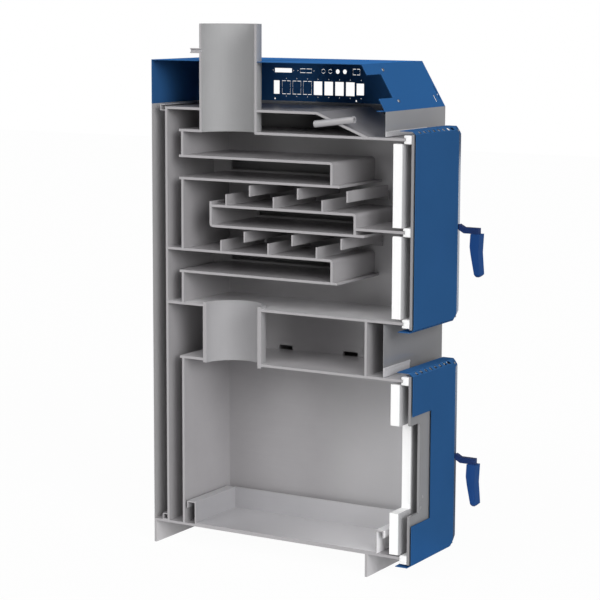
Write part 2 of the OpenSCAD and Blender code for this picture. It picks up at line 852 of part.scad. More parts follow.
// Outer shapes of the three sockets, widened by a gap for the rear panel
module socket_shapes(play, in_panel) {
    y1 = in_panel ? casing_d + over : rear_out + over;
    y0 = in_panel ? casing_d - over : rear_out_in - over;
    wide = in_panel ? play : 0;
    rod_y(socket_x, jacket_top_z - flow_drop, socket_r + wide, y0, y1);
    rod_y(socket_x, base_top + return_up, socket_r + wide, y0, y1);
    rod_y(drain_x, base_top + drain_up, drain_r + wide, y0, y1);
}

// Threaded pipe socket, open to the water space
module socket(x, z, r, bore, reach) {
    difference() {
        rod_y(x, z, r, rear_out_in, casing_d + reach);
        rod_y(x, z, bore, rear_out_in - over, casing_d + reach + over);
    }
}

module flow_socket() {
    color("#77787C") placed()
        socket(socket_x, jacket_top_z - flow_drop, socket_r, socket_bore_r, socket_reach);
}

module return_socket() {
    color("#77787C") placed()
        socket(socket_x, base_top + return_up, socket_r, socket_bore_r, socket_reach);
}

module drain_socket() {
    color("#77787C") placed()
        socket(drain_x, base_top + drain_up, drain_r, drain_bore_r, drain_reach);
}

// Heights of the two hinges of each door
upper_hinges = [for (s = [-1, 1]) upper_door_mid + s * hinge_span / 2];
lower_hinges = [for (s = [-1, 1]) lower_door_mid + s * hinge_span / 2];

// Fork lugs, welded to the jacket's front
module hinge_lugs() {
    color("#5D5E62") placed() for (z = concat(upper_hinges, lower_hinges), s = [0, 1]) {
        z0 = z - strap_h / 2 - gap - lug_h + s * (strap_h + 2 * gap + lug_h);
        difference() {
            plan(z0, z0 + lug_h) {
                polygon([[side_out - 3 * plate_t, jacket_front], [side_out, jacket_front],
                    [fold_x - casing_t, -casing_t], [hinge_x, -hinge_y + eye_r],
                    [hinge_x, -hinge_y - eye_r], [hinge_x - 2 * eye_r, -hinge_y + eye_r / 3],
                    [side_out - 3 * plate_t, casing_t]]);
                translate([hinge_x, -hinge_y]) circle(r = eye_r);
            }
            translate([hinge_x, -hinge_y, z0 - over])
                cylinder(h = lug_h + 2 * over, r = pin_r);
        }
    }
}

module hinge_pins() {
    pin_l = strap_h + 2 * lug_h + 4 * gap;
    color("#77787C") placed() for (z = concat(upper_hinges, lower_hinges)) {
        translate([hinge_x, -hinge_y, z - pin_l / 2]) cylinder(h = pin_l, r = pin_r);
        translate([hinge_x, -hinge_y, z + strap_h / 2 + gap + lug_h])
            cylinder(h = pin_r / 2, r = eye_r - casing_t);
    }
}

// Pads that the latch tongues press on
module latch_keepers() {
    color("#5D5E62") placed() for (z = [upper_spindle_z, lower_spindle_z])
        block([side_out - lever_w, -tongue_y + tongue_t + gap, z - lever_w / 2],
            [side_out - casing_t, jacket_front, z + lever_w / 2]);
}

// Outline of a door cover in plan, t inside its outer face and past its ends by spare
module cover_plan(t, spare) {
    dx = t * tan(bevel_a / 2);
    dy = t * tan(45 - bevel_a / 2);
    polygon([[-spare, spare - door_back], [-spare, t - door_face],
        [door_flat - dx, t - door_face], [door_w - t, dy + door_bevel - door_face],
        [door_w - t, spare - door_back]]);
}

// The same outline from the side
module cover_side(t, spare, low, high) {
    a = atan2(door_edge_h, door_edge_bevel);
    dy = t * tan(a / 2);
    dz = t * tan(45 - a / 2);
    polygon([[spare - door_back, low + t], [dy + door_edge_bevel - door_face, low + t],
        [t - door_face, low + door_edge_h + dz], [t - door_face, high - door_edge_h - dz],
        [dy + door_edge_bevel - door_face, high - t], [spare - door_back, high - t]]);
}

// The same outline from the front, with its two round corners
module cover_front_view(t, spare, low, high) {
    r = door_corner;
    x = door_w - r;
    polygon(concat([[-spare, high - t], [-spare, low + t]],
        arc(x, low + r, r - t, 270, 360), arc(x, high - r, r - t, 0, 90)));
}

// Solid form of a door cover: its outside, or the room inside it with spare to cut with
module cover_form(t, spare, low, high) {
    intersection() {
        plan(low - over, high + over) cover_plan(t, spare);
        profile(-2 * over, door_w + over) cover_side(t, spare, low, high);
        face(-door_face - over, 2 * over - door_back) cover_front_view(t, spare, low, high);
    }
}

module door_cover(low, high, spindle_z) {
    difference() {
        cover_form(0, 0, low, high);
        cover_form(door_sheet, over, low, high);
        rod_y(spindle_x, spindle_z, spindle_r + door_sheet, -door_face - over, -door_back);
        vents(low, high);
    }
}

// Vents in the bevels along top and bottom
vent_first = 27;
module vents(low, high) {
    a = atan2(door_edge_h, door_edge_bevel);
    y = -door_face + door_edge_bevel / 2;
    for (s = [0, 1]) {
        z = s == 0 ? low + door_edge_h / 2 : high - door_edge_h / 2;
        translate([0, y, z]) rotate([s == 0 ? -a : a, 0, 0]) {
            for (i = [0 : vent_count - 1])
                block([vent_first + i * vent_pitch - vent_w / 2, -vent_h / 2, -over],
                    [vent_first + i * vent_pitch + vent_w / 2, vent_h / 2, over]);
            block([vent_first + 6.6 * vent_pitch - vent_w / 2, -vent_h * 0.8, -over],
                [vent_first + 6.6 * vent_pitch + vent_w, vent_h * 0.8, over]);
        }
    }
}

// Plate that carries a door's parts
module door_plate(low, high, spindle_z) {
    difference() {
        block([0, -plate_front, low + door_inset],
            [door_plate_w, -plate_face, high - door_inset]);
        rod_y(spindle_x, spindle_z, spindle_r + door_sheet, -plate_front - over,
            -plate_face + over);
    }
}

// Square rope frame with a slot for each plate tip that presses on it
module gasket_frame(low, high, bars, tips) {
    difference() {
        union() {
            for (z = concat([low, high - gasket], bars))
                block([0, -plate_face, z], [gasket_w, -gasket_y, z + gasket]);
            block([gasket_w - gasket, -plate_face, low], [gasket_w, -gasket_y, high]);
        }
        for (z = tips)
            block([-over, -lip_reach - gap, z - gap],
                [gasket_w + over, -gasket_y + over, z + plate_t + gap]);
    }
}

// Shoulder bolts that hold a board off the door plate
bolt_shoulder_r = 6;
bolt_r = 3;
washer_r = 11;
washer_t = 2;

module board(low, high) {
    difference() {
        block([0, -board_y - board_t, low], [board_w, -board_y, high]);
        for (x = bolt_x_shares, z = bolt_z_shares)
            rod_y(x * board_w, low + z * (high - low), bolt_r + running,
                -board_y - board_t - over, over - board_y);
    }
}

module bolts(low, high) {
    for (x = bolt_x_shares, z = bolt_z_shares) {
        rod_y(x * board_w, low + z * (high - low), bolt_shoulder_r,
            -plate_face, -board_y - board_t);
        rod_y(x * board_w, low + z * (high - low), bolt_r, -board_y - board_t, -board_y);
        rod_y(x * board_w, low + z * (high - low), washer_r, -board_y, -board_y + washer_t);
    }
}

// Bent straps from the door plate to the hinge axis
module hinge_straps(heights) {
    leg_x = gasket_w + casing_t;
    for (z = heights) difference() {
        plan(z - strap_h / 2, z + strap_h / 2) {
            polygon([[leg_x, -plate_face], [door_plate_w, -plate_face],
                [door_plate_w, -hinge_y - strap_t], [hinge_x, -hinge_y - strap_t],
                [hinge_x, -hinge_y], [leg_x, -hinge_y]]);
            translate([hinge_x, -hinge_y]) circle(r = eye_r);
        }
        translate([hinge_x, -hinge_y, z - strap_h])
            cylinder(h = 2 * strap_h, r = pin_r + running);
    }
}

// Stepped bracket with the spindle's bearing
module latch_bracket(z) {
    x0 = gasket_w + casing_t / 2;
    x1 = side_out - casing_t;
    y = -bracket_face;
    h = 2.5 * spindle_r;
    difference() {
        union() {
            block([x0, y, z - h], [x1, y + bracket_t, z + h]);
            for (s = [-1, 1])
                translate([0, 0, z + s * h * 0.8])
                    block([x0, -plate_face, -h / 5], [door_plate_w, y, h / 5]);
        }
        rod_y(spindle_x, z, spindle_r + running, -plate_face - over, 0);
    }
}

// Upper door
upper_gasket_low = floor_z + plate_t / 2 - gasket / 2;
upper_gasket_high = gas_top_z + plate_t / 2 + gasket / 2;
upper_gasket_bar = divider_z + plate_t / 2 - gasket / 2;

module upper_door_plate() {
    color("#9A9A9C") placed() door_plate(upper_door_low, upper_door_high, upper_spindle_z);
}

module upper_door_cover() {
    color("#28527D") placed() door_cover(upper_door_low, upper_door_high, upper_spindle_z);
}

module upper_door_gasket() {
    color("#F4F4F4") placed() gasket_frame(upper_gasket_low, upper_gasket_high,
        [upper_gasket_bar], [floor_z, gas_top_z, divider_z]);
}

module upper_door_insulation() {
    color("#FFFFFF") placed() {
        board(upper_gasket_low + gasket, upper_gasket_bar);
        board(upper_gasket_bar + gasket, upper_gasket_high - gasket);
    }
}

module upper_door_bolts() {
    color("#8C8D90") placed() {
        bolts(upper_gasket_low + gasket, upper_gasket_bar);
        bolts(upper_gasket_bar + gasket, upper_gasket_high - gasket);
    }
}

module upper_hinge_straps() {
    color("#6A6B6F") placed() hinge_straps(upper_hinges);
}

module upper_latch_bracket() {
    color("#6A6B6F") placed() latch_bracket(upper_spindle_z);
}

// Lower door, open for the burner
lower_gasket_low = lower_door_low + door_inset;
lower_gasket_high = ceiling_z + plate_t / 2 + gasket / 2;

// Opening round the burner, centred on the door's height
module burner_hole(w, h, y0, y1) {
    block([-over, y0, lower_door_mid - h / 2], [w, y1, lower_door_mid + h / 2]);
}

module lower_door_plate() {
    color("#9A9A9C") placed() difference() {
        door_plate(lower_door_low, lower_door_high, lower_spindle_z);
        burner_hole(burner_w, burner_h, -plate_front - over, -plate_face + over);
    }
}

module lower_door_cover() {
    color("#28527D") placed() difference() {
        door_cover(lower_door_low, lower_door_high, lower_spindle_z);
        burner_hole(window_w, window_h, -door_face - over, -door_back);
    }
}

module lower_door_gasket() {
    color("#F4F4F4") placed() gasket_frame(lower_gasket_low, lower_gasket_high,
        [], [ceiling_z]);
}

module lower_door_insulation() {
    color("#FFFFFF") placed() difference() {
        board(lower_gasket_low + gasket, lower_gasket_high - gasket);
        burner_hole(burner_board_w, burner_board_h, -board_y - board_t - over, over - board_y);
    }
}

module lower_door_bolts() {
    color("#8C8D90") placed() bolts(lower_gasket_low + gasket, lower_gasket_high - gasket);
}

module lower_hinge_straps() {
    color("#6A6B6F") placed() hinge_straps(lower_hinges);
}

module lower_latch_bracket() {
    color("#6A6B6F") placed() latch_bracket(lower_spindle_z);
}

// Cranked lever with its spindle
module lever(z) {
    y0 = -door_face - casing_t / 2;
    y1 = y0 - lever_crank;
    half = lever_w / 2;
    low = z - lever_drop;
    profile(spindle_x - half, spindle_x + half) polygon([
        [y0, z - half], [y0, z + half], [y0 - gap, z + half], [y1, low + half],
        [-lever_end, low + half], [-lever_end, low - half], [y1, low - half],
        [y0 - gap, z - half]]);
    rod_y(spindle_x, z, spindle_r, y0, -tongue_y + tongue_t);
}

// Moulded grip with rounded lower corners
module grip(z) {
    top = z - lever_drop - lever_w / 2;
    low = top - grip_l;
    r = grip_w / 3;
    x = grip_w / 2 - r;
    intersection() {
        profile(spindle_x - grip_w / 2, spindle_x + grip_w / 2)
            polygon([for (i = [0 : len(grip_y_shares) - 1])
                [-grip_y_shares[i] * lever_end, top - grip_z_shares[i] * grip_l]]);
        translate([spindle_x, 0, 0]) face(-2 * lever_end, 0) polygon(concat(
            [[-grip_w / 2, top]], arc(-x, low + r, r, 180, 270),
            arc(x, low + r, r, 270, 360), [[grip_w / 2, top]]));
    }
}

// Tongue on the spindle's inner end, pointing to the side
module latch_tongue(z) {
    hub_r = 1.55 * spindle_r;
    color("#6A6B6F") placed() difference() {
        union() {
            rod_y(spindle_x, z, hub_r, -tongue_y, -tongue_y + tongue_t);
            block([spindle_x, -tongue_y, z - spindle_r],
                [spindle_x + tongue_l, -tongue_y + tongue_t, z + spindle_r]);
        }
        rod_y(spindle_x, z, spindle_r, -tongue_y - over, -tongue_y + tongue_t + over);
    }
}

module upper_lever() {
    color("#2C3C69") placed() lever(upper_spindle_z);
}

module upper_grip() {
    color("#244C87") placed() grip(upper_spindle_z);
}

module upper_latch_tongue() {
    latch_tongue(upper_spindle_z);
}

module lower_lever() {
    color("#2C3C69") placed() lever(lower_spindle_z);
}

module lower_grip() {
    color("#244C87") placed() grip(lower_spindle_z);
}

module lower_latch_tongue() {
    latch_tongue(lower_spindle_z);
}

// Folded pan, its front and rear hems turned over
module ash_pan() {
    y0 = pan_front;
    y1 = pan_front + pan_l;
    z1 = base_top + pan_h;
    color("#A8A7AA") placed() {
        profile(0, pan_w - pan_t) polygon([
            [y0 - pan_front_hem, z1 - pan_hem_drop], [y0 - pan_front_hem, z1],
            [y0 + pan_t, z1], [y0 + pan_t, base_top + pan_t],
            [y1 - pan_t, base_top + pan_t], [y1 - pan_t, z1],
            [y1 + pan_rear_hem, z1], [y1 + pan_rear_hem, z1 - pan_hem_drop],
            [y1 + pan_rear_hem - pan_t, z1 - pan_hem_drop],
            [y1 + pan_rear_hem - pan_t, z1 - pan_t], [y1, z1 - pan_t], [y1, base_top],
            [y0, base_top], [y0, z1 - pan_t], [y0 - pan_front_hem + pan_t, z1 - pan_t],
            [y0 - pan_front_hem + pan_t, z1 - pan_hem_drop]]);
        block([pan_w - pan_t, y0, base_top], [pan_w, y1, z1]);
    }
}

base_plate();
rear_foot();
front_foot();
rear_outer_wall();
rear_inner_wall();
side_inner_wall();
side_outer_wall();
jacket_top_plate();
gas_top_plate();
upper_pocket_shell();
upper_pocket_floor();
middle_pocket_top();
middle_pocket_bottom();
divider_plate();
lower_pocket_shell();
lower_pocket_floor();
upper_chamber_floor();
combustion_ceiling();
exhaust_tube();
front_water_wall();
flue_pipe();
flue_sensor_sleeve();
thermowell();
upper_turbulators();
lower_turbulators();
casing_rear();
casing_side();
casing_front_top();
casing_front_middle();
control_cover();
casing_spacers();
rear_panel_screws();
flow_socket();
return_socket();
drain_socket();
hinge_lugs();
hinge_pins();
latch_keepers();
upper_door_plate();
upper_door_cover();
upper_door_gasket();
upper_door_insulation();
upper_door_bolts();
upper_hinge_straps();
upper_latch_bracket();
lower_door_plate();
lower_door_cover();
lower_door_gasket();
lower_door_insulation();
lower_door_bolts();
lower_hinge_straps();
lower_latch_bracket();
upper_lever();
upper_grip();
upper_latch_tongue();
lower_lever();
lower_grip();
lower_latch_tongue();
ash_pan();
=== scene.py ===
"""Looks of a sectioned steel pellet boiler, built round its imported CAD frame.

The boiler is cut along its upright centre plane. The CAD nodes keep their shapes and get their finishes
here. The doors' rope gaskets, fibre boards and pressed covers are made anew, and the casing gets its hem
strips and the display's screws. Lengths are in metres, but for those that a docstring gives in mm.
"""

from __future__ import annotations

import logging
import math
from dataclasses import dataclass
from enum import Enum
from typing import Any, Iterable

import bmesh
import bpy
from mathutils import Matrix, Vector

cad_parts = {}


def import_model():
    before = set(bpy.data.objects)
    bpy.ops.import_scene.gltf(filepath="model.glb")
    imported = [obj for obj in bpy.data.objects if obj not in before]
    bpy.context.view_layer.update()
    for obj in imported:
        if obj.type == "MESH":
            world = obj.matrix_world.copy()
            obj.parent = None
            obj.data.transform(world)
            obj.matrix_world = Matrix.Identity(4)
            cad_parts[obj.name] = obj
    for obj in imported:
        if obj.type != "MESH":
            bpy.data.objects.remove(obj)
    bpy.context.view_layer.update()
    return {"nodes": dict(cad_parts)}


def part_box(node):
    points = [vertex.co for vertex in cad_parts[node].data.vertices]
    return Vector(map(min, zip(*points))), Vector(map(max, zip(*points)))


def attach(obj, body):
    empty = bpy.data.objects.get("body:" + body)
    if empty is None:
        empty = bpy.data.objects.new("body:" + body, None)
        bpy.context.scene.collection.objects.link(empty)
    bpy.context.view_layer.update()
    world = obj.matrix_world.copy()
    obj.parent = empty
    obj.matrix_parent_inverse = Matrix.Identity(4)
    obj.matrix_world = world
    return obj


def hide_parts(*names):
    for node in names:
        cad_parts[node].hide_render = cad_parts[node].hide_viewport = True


log = logging.getLogger("pellet_boiler")

MM = 0.001
# Points this close are one point
TOUCH = 0.001 * MM
# The wave texture turns through this many radians in one scaled unit along an axis, or along the diagonal
AXIS_TURN = 20.0
DIAGONAL_TURN = 10.0 * math.sqrt(3.0)

Triple = tuple[float, float, float]
Material = bpy.types.Material
Tree = bpy.types.NodeTree
Node = bpy.types.Node
Socket = bpy.types.NodeSocket
Form = bmesh.types.BMesh
Nodes = dict[str, bpy.types.Object]


def linear(code: str) -> tuple[float, float, float, float]:
    """Turns an sRGB hex colour into linear red, green, blue and alpha, by the sRGB standard's curve.

    Args:
        code: six hex digits, such as "28527D".

    Returns:
        The linear colour with alpha 1.
    """
    parts = [int(code[i : i + 2], 16) / 255 for i in (0, 2, 4)]
    low = [c / 12.92 if c <= 0.04045 else ((c + 0.055) / 1.055) ** 2.4 for c in parts]
    return (low[0], low[1], low[2], 1.0)


def cells(size: float) -> float:
    """Gives the scale at which a texture's cells have a real size in mm."""
    return 1.0 / (size * MM)


def bands(pitch: float, turn: float = AXIS_TURN) -> float:
    """Gives the scale at which a wave texture's bands stand a real pitch in mm apart."""
    return 2.0 * math.pi / (turn * pitch * MM)


def add(
    tree: Tree,
    kind: str,
    settings: dict[str, Any] | None = None,
    values: dict[Any, Any] | None = None,
    links: dict[Any, Socket] | None = None,
) -> Node:
    """Adds a node with its settings, its socket values and its links.

    Args:
        tree: the node tree that gets the node.
        kind: the node's type name, without the ShaderNode before it.
        settings: attributes of the node itself.
        values: default values by input name or number.
        links: sockets that feed inputs, by input name or number.

    Returns:
        The new node.
    """
    node = tree.nodes.new(f"ShaderNode{kind}")
    for name, value in (settings or {}).items():
        setattr(node, name, value)
    for name, value in (values or {}).items():
        node.inputs[name].default_value = value
    for name, socket in (links or {}).items():
        tree.links.new(socket, node.inputs[name])
    return node


class Body(Enum):
    """The bodies of the CAD frame that this scene's own pieces ride on."""

    BOILER = "boiler"
    UPPER_DOOR = "upper_door"
    LOWER_DOOR = "lower_door"


# Finishes


@dataclass(frozen=True)
class Finish:
    """A surface finish: its name, the record's slot it belongs to (not used), its colour, its gloss and its
    relief.

    The relief's depth is in mm, and so are the sizes of the patterns that the kinds of finish below add.
    """

    name: str
    slot: str
    colour: str
    roughness: float = 0.5
    metallic: float = 0.0
    specular: float = 0.5
    relief: float = 0.2
    depth: float = 0.02

    def start(self) -> tuple[Material, Tree, Node, Node]:
        """Makes the material with its shader and coordinates.

        Returns:
            The material, its tree, the Principled shader and the Texture Coordinate node.
        """
        material = bpy.data.materials.new(self.name)
        material.use_nodes = True
        tree = material.node_tree
        shader = tree.nodes["Principled BSDF"]
        shader.inputs["Metallic"].default_value = self.metallic
        shader.inputs["Roughness"].default_value = self.roughness
        shader.inputs["Specular IOR Level"].default_value = self.specular
        shader.inputs["Base Color"].default_value = linear(self.colour)
        return material, tree, shader, add(tree, "TexCoord")

    def material(self) -> Material:
        """Makes the material, or returns the one already made."""
        made = bpy.data.materials.get(self.name)
        return made if made else self.make()

    def surface(self, tree: Tree, shader: Node, colour: Socket, height: Socket) -> None:
        """Gives the shader its patterned colour and relief.

        Args:
            tree: the material's tree.
            shader: the Principled shader.
            colour: the colour.
            height: the relief's height.
        """
        bump = add(tree, "Bump", values={"Strength": self.relief, "Distance": self.depth * MM},
                   links={"Height": height})
        tree.links.new(colour, shader.inputs["Base Color"])
        tree.links.new(bump.outputs["Normal"], shader.inputs["Normal"])

    def make(self) -> Material:
        """Makes a plain material; the finishes below add their own detail."""
        return self.start()[0]


@dataclass(frozen=True)
class RolledSteel(Finish):
    """Hot-rolled mild steel plate, sawn through at the section plane.

    The rolled face is a satin grey with cloudy mill scale and faint streaks along the rolling direction.
    The sawn edge is lighter and cleaner, with fine lines left by the blade.
    """

    relief: float = 0.12
    depth: float = 0.03
    cut_colour: str = "A4A2A4"
    cut_x: float = -146.5 * MM
    cut_play: float = 0.4 * MM
    cut_lean: float = -0.9
    cloud: float = 0.03
    cloud_size: float = 71.43
    streak_size: float = 3.8462
    streak_length: float = 111.11
    streak_share: float = 0.45
    streak_axis: int = 1
    blade_pitch: float = 2.4166
    grain_size: float = 1.4286
    smoother: float = 0.015
    rougher: float = 0.025

    def painted_light(self, tree: Tree, where: Node, facing: Node, colour: Socket) -> Socket:
        """Gives the rolled face its painted light; a plain plate has none.

        Args:
            tree: the material's tree.
            where: the Separate XYZ node of the place on the piece.
            facing: the Separate XYZ node of the direction that the face looks in.
            colour: the colour before the painted light.

        Returns:
            The colour with its painted light.
        """
        return colour

    def make(self) -> Material:
        """Makes the plate's material.

        Returns:
            The material.
        """
        material, tree, shader, coords = self.start()
        point = coords.outputs["Object"]
        # Mill scale lies in clouds a hand wide, and in thin streaks along the rolling direction
        clouds = add(tree, "TexNoise",
                     values={"Scale": cells(self.cloud_size), "Detail": 4.0, "Roughness": 0.55},
                     links={"Vector": point})
        stretch = [cells(self.streak_size)] * 3
        stretch[self.streak_axis] = cells(self.streak_length)
        streaks_at = add(tree, "Mapping", values={"Scale": stretch}, links={"Vector": point})
        streaks = add(tree, "TexNoise", values={"Scale": 1.0, "Detail": 3.0, "Roughness": 0.6},
                      links={"Vector": streaks_at.outputs["Vector"]})
        both = add(tree, "Math", {"operation": "MULTIPLY_ADD"}, {1: self.streak_share},
                   {0: streaks.outputs["Fac"], 2: clouds.outputs["Fac"]})
        tone = add(tree, "MapRange",
                   values={"From Min": 0.45, "From Max": 1.0,
                           "To Min": 1.0 - self.cloud, "To Max": 1.0 + self.cloud},
                   links={"Value": both.outputs[0]})
        rolled = add(tree, "VectorMath", {"operation": "SCALE"},
                     {0: linear(self.colour)[:3]}, {"Scale": tone.outputs["Result"]})
        # The sawn edge: faces that look out of the section plane
        where = add(tree, "SeparateXYZ", links={"Vector": point})
        facing = add(tree, "SeparateXYZ", links={"Vector": coords.outputs["Normal"]})
        at_cut = add(tree, "Math", {"operation": "LESS_THAN"}, {1: self.cut_x + self.cut_play},
                     {0: where.outputs["X"]})
        looks_out = add(tree, "Math", {"operation": "LESS_THAN"}, {1: self.cut_lean},
                        {0: facing.outputs["X"]})
        sawn = add(tree, "Math", {"operation": "MULTIPLY"},
                   links={0: at_cut.outputs[0], 1: looks_out.outputs[0]})
        # The blade's marks are drawn about twice as far apart as real ones, so that they show
        blade = add(tree, "TexWave", {"bands_direction": "Z"},
                    {"Scale": bands(self.blade_pitch), "Distortion": 1.5, "Detail": 2.0,
                     "Detail Scale": 1.0},
                    {"Vector": point})
        cut_tone = add(tree, "MapRange", values={"To Min": 0.965, "To Max": 1.03},
                       links={"Value": blade.outputs["Fac"]})
        cut = add(tree, "VectorMath", {"operation": "SCALE"},
                  {0: linear(self.cut_colour)[:3]}, {"Scale": cut_tone.outputs["Result"]})
        # Painted light, for the kinds of plate that have it
        painted_light = self.painted_light(tree, where, facing, rolled.outputs[0])
        colour = add(tree, "Mix", {"data_type": "RGBA"},
                     links={"Factor": sawn.outputs[0], "A": painted_light, "B": cut.outputs[0]})
        rough = add(tree, "MapRange",
                    values={"From Min": 0.3, "From Max": 0.7, "To Min": self.roughness - self.smoother,
                            "To Max": self.roughness + self.rougher},
                    links={"Value": clouds.outputs["Fac"]})
        tree.links.new(rough.outputs["Result"], shader.inputs["Roughness"])
        # The scale's grain is finer than this, and is drawn coarse so that it shows
        grain = add(tree, "TexNoise",
                    values={"Scale": cells(self.grain_size), "Detail": 3.0, "Roughness": 0.6},
                    links={"Vector": point})
        height = add(tree, "Mix", {"data_type": "FLOAT"}, links={
            "Factor": sawn.outputs[0], "A": grain.outputs["Fac"], "B": blade.outputs["Fac"]})
        self.surface(tree, shader, colour.outputs["Result"], height.outputs["Result"])
        return material


@dataclass(frozen=True)
class LightPaintedSteel(RolledSteel):
    """Rolled steel with painted light, which makes it paler towards the doors.

    Below the chamber's ceiling the painted light grows slowly along its depth, and above it only near the
    door. Faces that look up get more of it, and a lip at the very front gets painted bounce light.
    """

    pale: str = "D2D1D3"
    pale_from: float = 50.0 * MM
    pale_to: float = -250.0 * MM
    ceiling_z: float = 475.0 * MM
    front_lit_y: float = -1000.0 * MM
    upward_light: float = 0.0
    high_from: float = -50.0 * MM
    high_to: float = -160.0 * MM
    high_share: float = 0.65

    def painted_light(self, tree: Tree, where: Node, facing: Node, colour: Socket) -> Socket:
        """Paints light onto the plate as the class says.

        Args:
            tree: the material's tree.
            where: the Separate XYZ node of the place on the piece.
            facing: the Separate XYZ node of the direction that the face looks in.
            colour: the colour before the painted light.

        Returns:
            The colour with its painted light.
        """
        # Painted light that grows towards the doors
        near = add(tree, "MapRange", {"interpolation_type": "SMOOTHSTEP"},
                   {"From Min": self.pale_from, "From Max": self.pale_to}, {"Value": where.outputs["Y"]})
        low = add(tree, "Math", {"operation": "LESS_THAN"}, {1: self.ceiling_z},
                  {0: where.outputs["Z"]})
        # Painted bounce light on the lip at the very front
        lit_lip = add(tree, "Math", {"operation": "LESS_THAN"}, {1: self.front_lit_y},
                    {0: where.outputs["Y"]})
        most = add(tree, "Math", {"operation": "MAXIMUM"},
                   links={0: near.outputs["Result"], 1: lit_lip.outputs[0]})
        # Faces that look up get more painted light
        low_light = add(tree, "Math", {"operation": "MULTIPLY_ADD", "use_clamp": True},
                     {1: self.upward_light}, {0: facing.outputs["Z"], 2: most.outputs[0]})
        # Above the ceiling, painted light only close to the door
        high = add(tree, "MapRange", {"interpolation_type": "SMOOTHSTEP"},
                   {"From Min": self.high_from, "From Max": self.high_to, "To Max": self.high_share},
                   {"Value": where.outputs["Y"]})
        share = add(tree, "Mix", {"data_type": "FLOAT"}, links={
            "Factor": low.outputs[0], "A": high.outputs["Result"], "B": low_light.outputs[0]})
        return add(tree, "Mix", {"data_type": "RGBA"}, {"B": linear(self.pale)},
                   {"Factor": share.outputs["Result"], "A": colour}).outputs["Result"]


@dataclass(frozen=True)
class PowderCoat(Finish):
    """Baked polyester powder coat on sheet: an even colour, a soft sheen and a 2.5 mm orange-peel ripple.

    A fine flake in the coat gives its sheen the tint of the paint. Faces that look up can be painted paler,
    as painted light from above.
    """

    tint: str = "FFFFFF"
    top_light: str = ""
    top_light_from: float = 0.38
    peel_size: float = 2.5
    drift_size: float = 166.67
    speck_size: float = 1.1111
    speck_share: float = 0.35

    def make(self) -> Material:
        """Makes the powder coat's material.

        Returns:
            The material.
        """
        material, tree, shader, coords = self.start()
        shader.inputs["Specular Tint"].default_value = linear(self.tint)
        point = coords.outputs["Object"]
        drift = add(tree, "TexNoise", values={"Scale": cells(self.drift_size), "Detail": 2.0},
                    links={"Vector": point})
        # The flake is far finer than this, and is drawn coarse so that it shows
        speck = add(tree, "TexNoise", values={"Scale": cells(self.speck_size), "Detail": 2.0},
                    links={"Vector": point})
        mixed = add(tree, "Math", {"operation": "MULTIPLY_ADD"}, {1: self.speck_share},
                    {0: speck.outputs["Fac"], 2: drift.outputs["Fac"]})
        tone = add(tree, "MapRange",
                   values={"From Min": 0.4, "From Max": 0.95, "To Min": 0.965, "To Max": 1.035},
                   links={"Value": mixed.outputs[0]})
        colour = add(tree, "VectorMath", {"operation": "SCALE"},
                     {0: linear(self.colour)[:3]}, {"Scale": tone.outputs["Result"]})
        top_lit_colour = colour.outputs[0]
        # Painted light from above on faces that look up
        if self.top_light:
            facing = add(tree, "SeparateXYZ", links={"Vector": coords.outputs["Normal"]})
            upward = add(tree, "MapRange", values={"From Min": self.top_light_from, "From Max": 1.0},
                         links={"Value": facing.outputs["Z"]})
            top_lit_colour = add(tree, "Mix", {"data_type": "RGBA"}, {"B": linear(self.top_light)},
                       {"Factor": upward.outputs["Result"], "A": top_lit_colour}).outputs["Result"]
        ripple = add(tree, "TexNoise",
                     values={"Scale": cells(self.peel_size), "Detail": 1.5, "Roughness": 0.4},
                     links={"Vector": point})
        self.surface(tree, shader, top_lit_colour, ripple.outputs["Fac"])
        return material


@dataclass(frozen=True)
class BraidedRope(Finish):
    """Square braided glass-fibre rope: white strands of nearly 4 mm cross in a plait, soft and matte."""

    relief: float = 0.4
    depth: float = 0.5
    strand: float = 3.695
    lay: Triple = (0.6, 0.42, 0.785)
    fibre_size: float = 0.66667
    fibre_share: float = 0.3
    fuzz: float = 0.3

    def make(self) -> Material:
        """Makes the rope's material.

        Returns:
            The material.
        """
        material, tree, shader, coords = self.start()
        point = coords.outputs["Object"]
        shader.inputs["Sheen Weight"].default_value = self.fuzz
        # Strands cross from both sides, and each band of the wave is two strands wide
        scale = bands(2.0 * self.strand, DIAGONAL_TURN)
        waves = []
        for side in (1.0, -1.0):
            turned = add(tree, "Mapping", values={"Rotation": [side * angle for angle in self.lay]},
                         links={"Vector": point})
            waves.append(add(tree, "TexWave", {"bands_direction": "DIAGONAL"},
                             {"Scale": scale, "Distortion": 0.6, "Detail": 1.0},
                             {"Vector": turned.outputs["Vector"]}).outputs["Fac"])
        plait = add(tree, "Math", {"operation": "MAXIMUM"}, links={0: waves[0], 1: waves[1]})
        # Single fibres are too fine to show, so these are drawn as thick as a yarn
        fibre = add(tree, "TexNoise", values={"Scale": cells(self.fibre_size), "Detail": 2.0},
                    links={"Vector": point})
        height = add(tree, "Math", {"operation": "MULTIPLY_ADD"}, {1: self.fibre_share},
                     {0: fibre.outputs["Fac"], 2: plait.outputs[0]})
        tone = add(tree, "MapRange", values={"From Max": 1.3, "To Min": 0.93, "To Max": 1.0},
                   links={"Value": height.outputs[0]})
        colour = add(tree, "VectorMath", {"operation": "SCALE"},
                     {0: linear(self.colour)[:3]}, {"Scale": tone.outputs["Result"]})
        self.surface(tree, shader, colour.outputs[0], height.outputs[0])
        return material


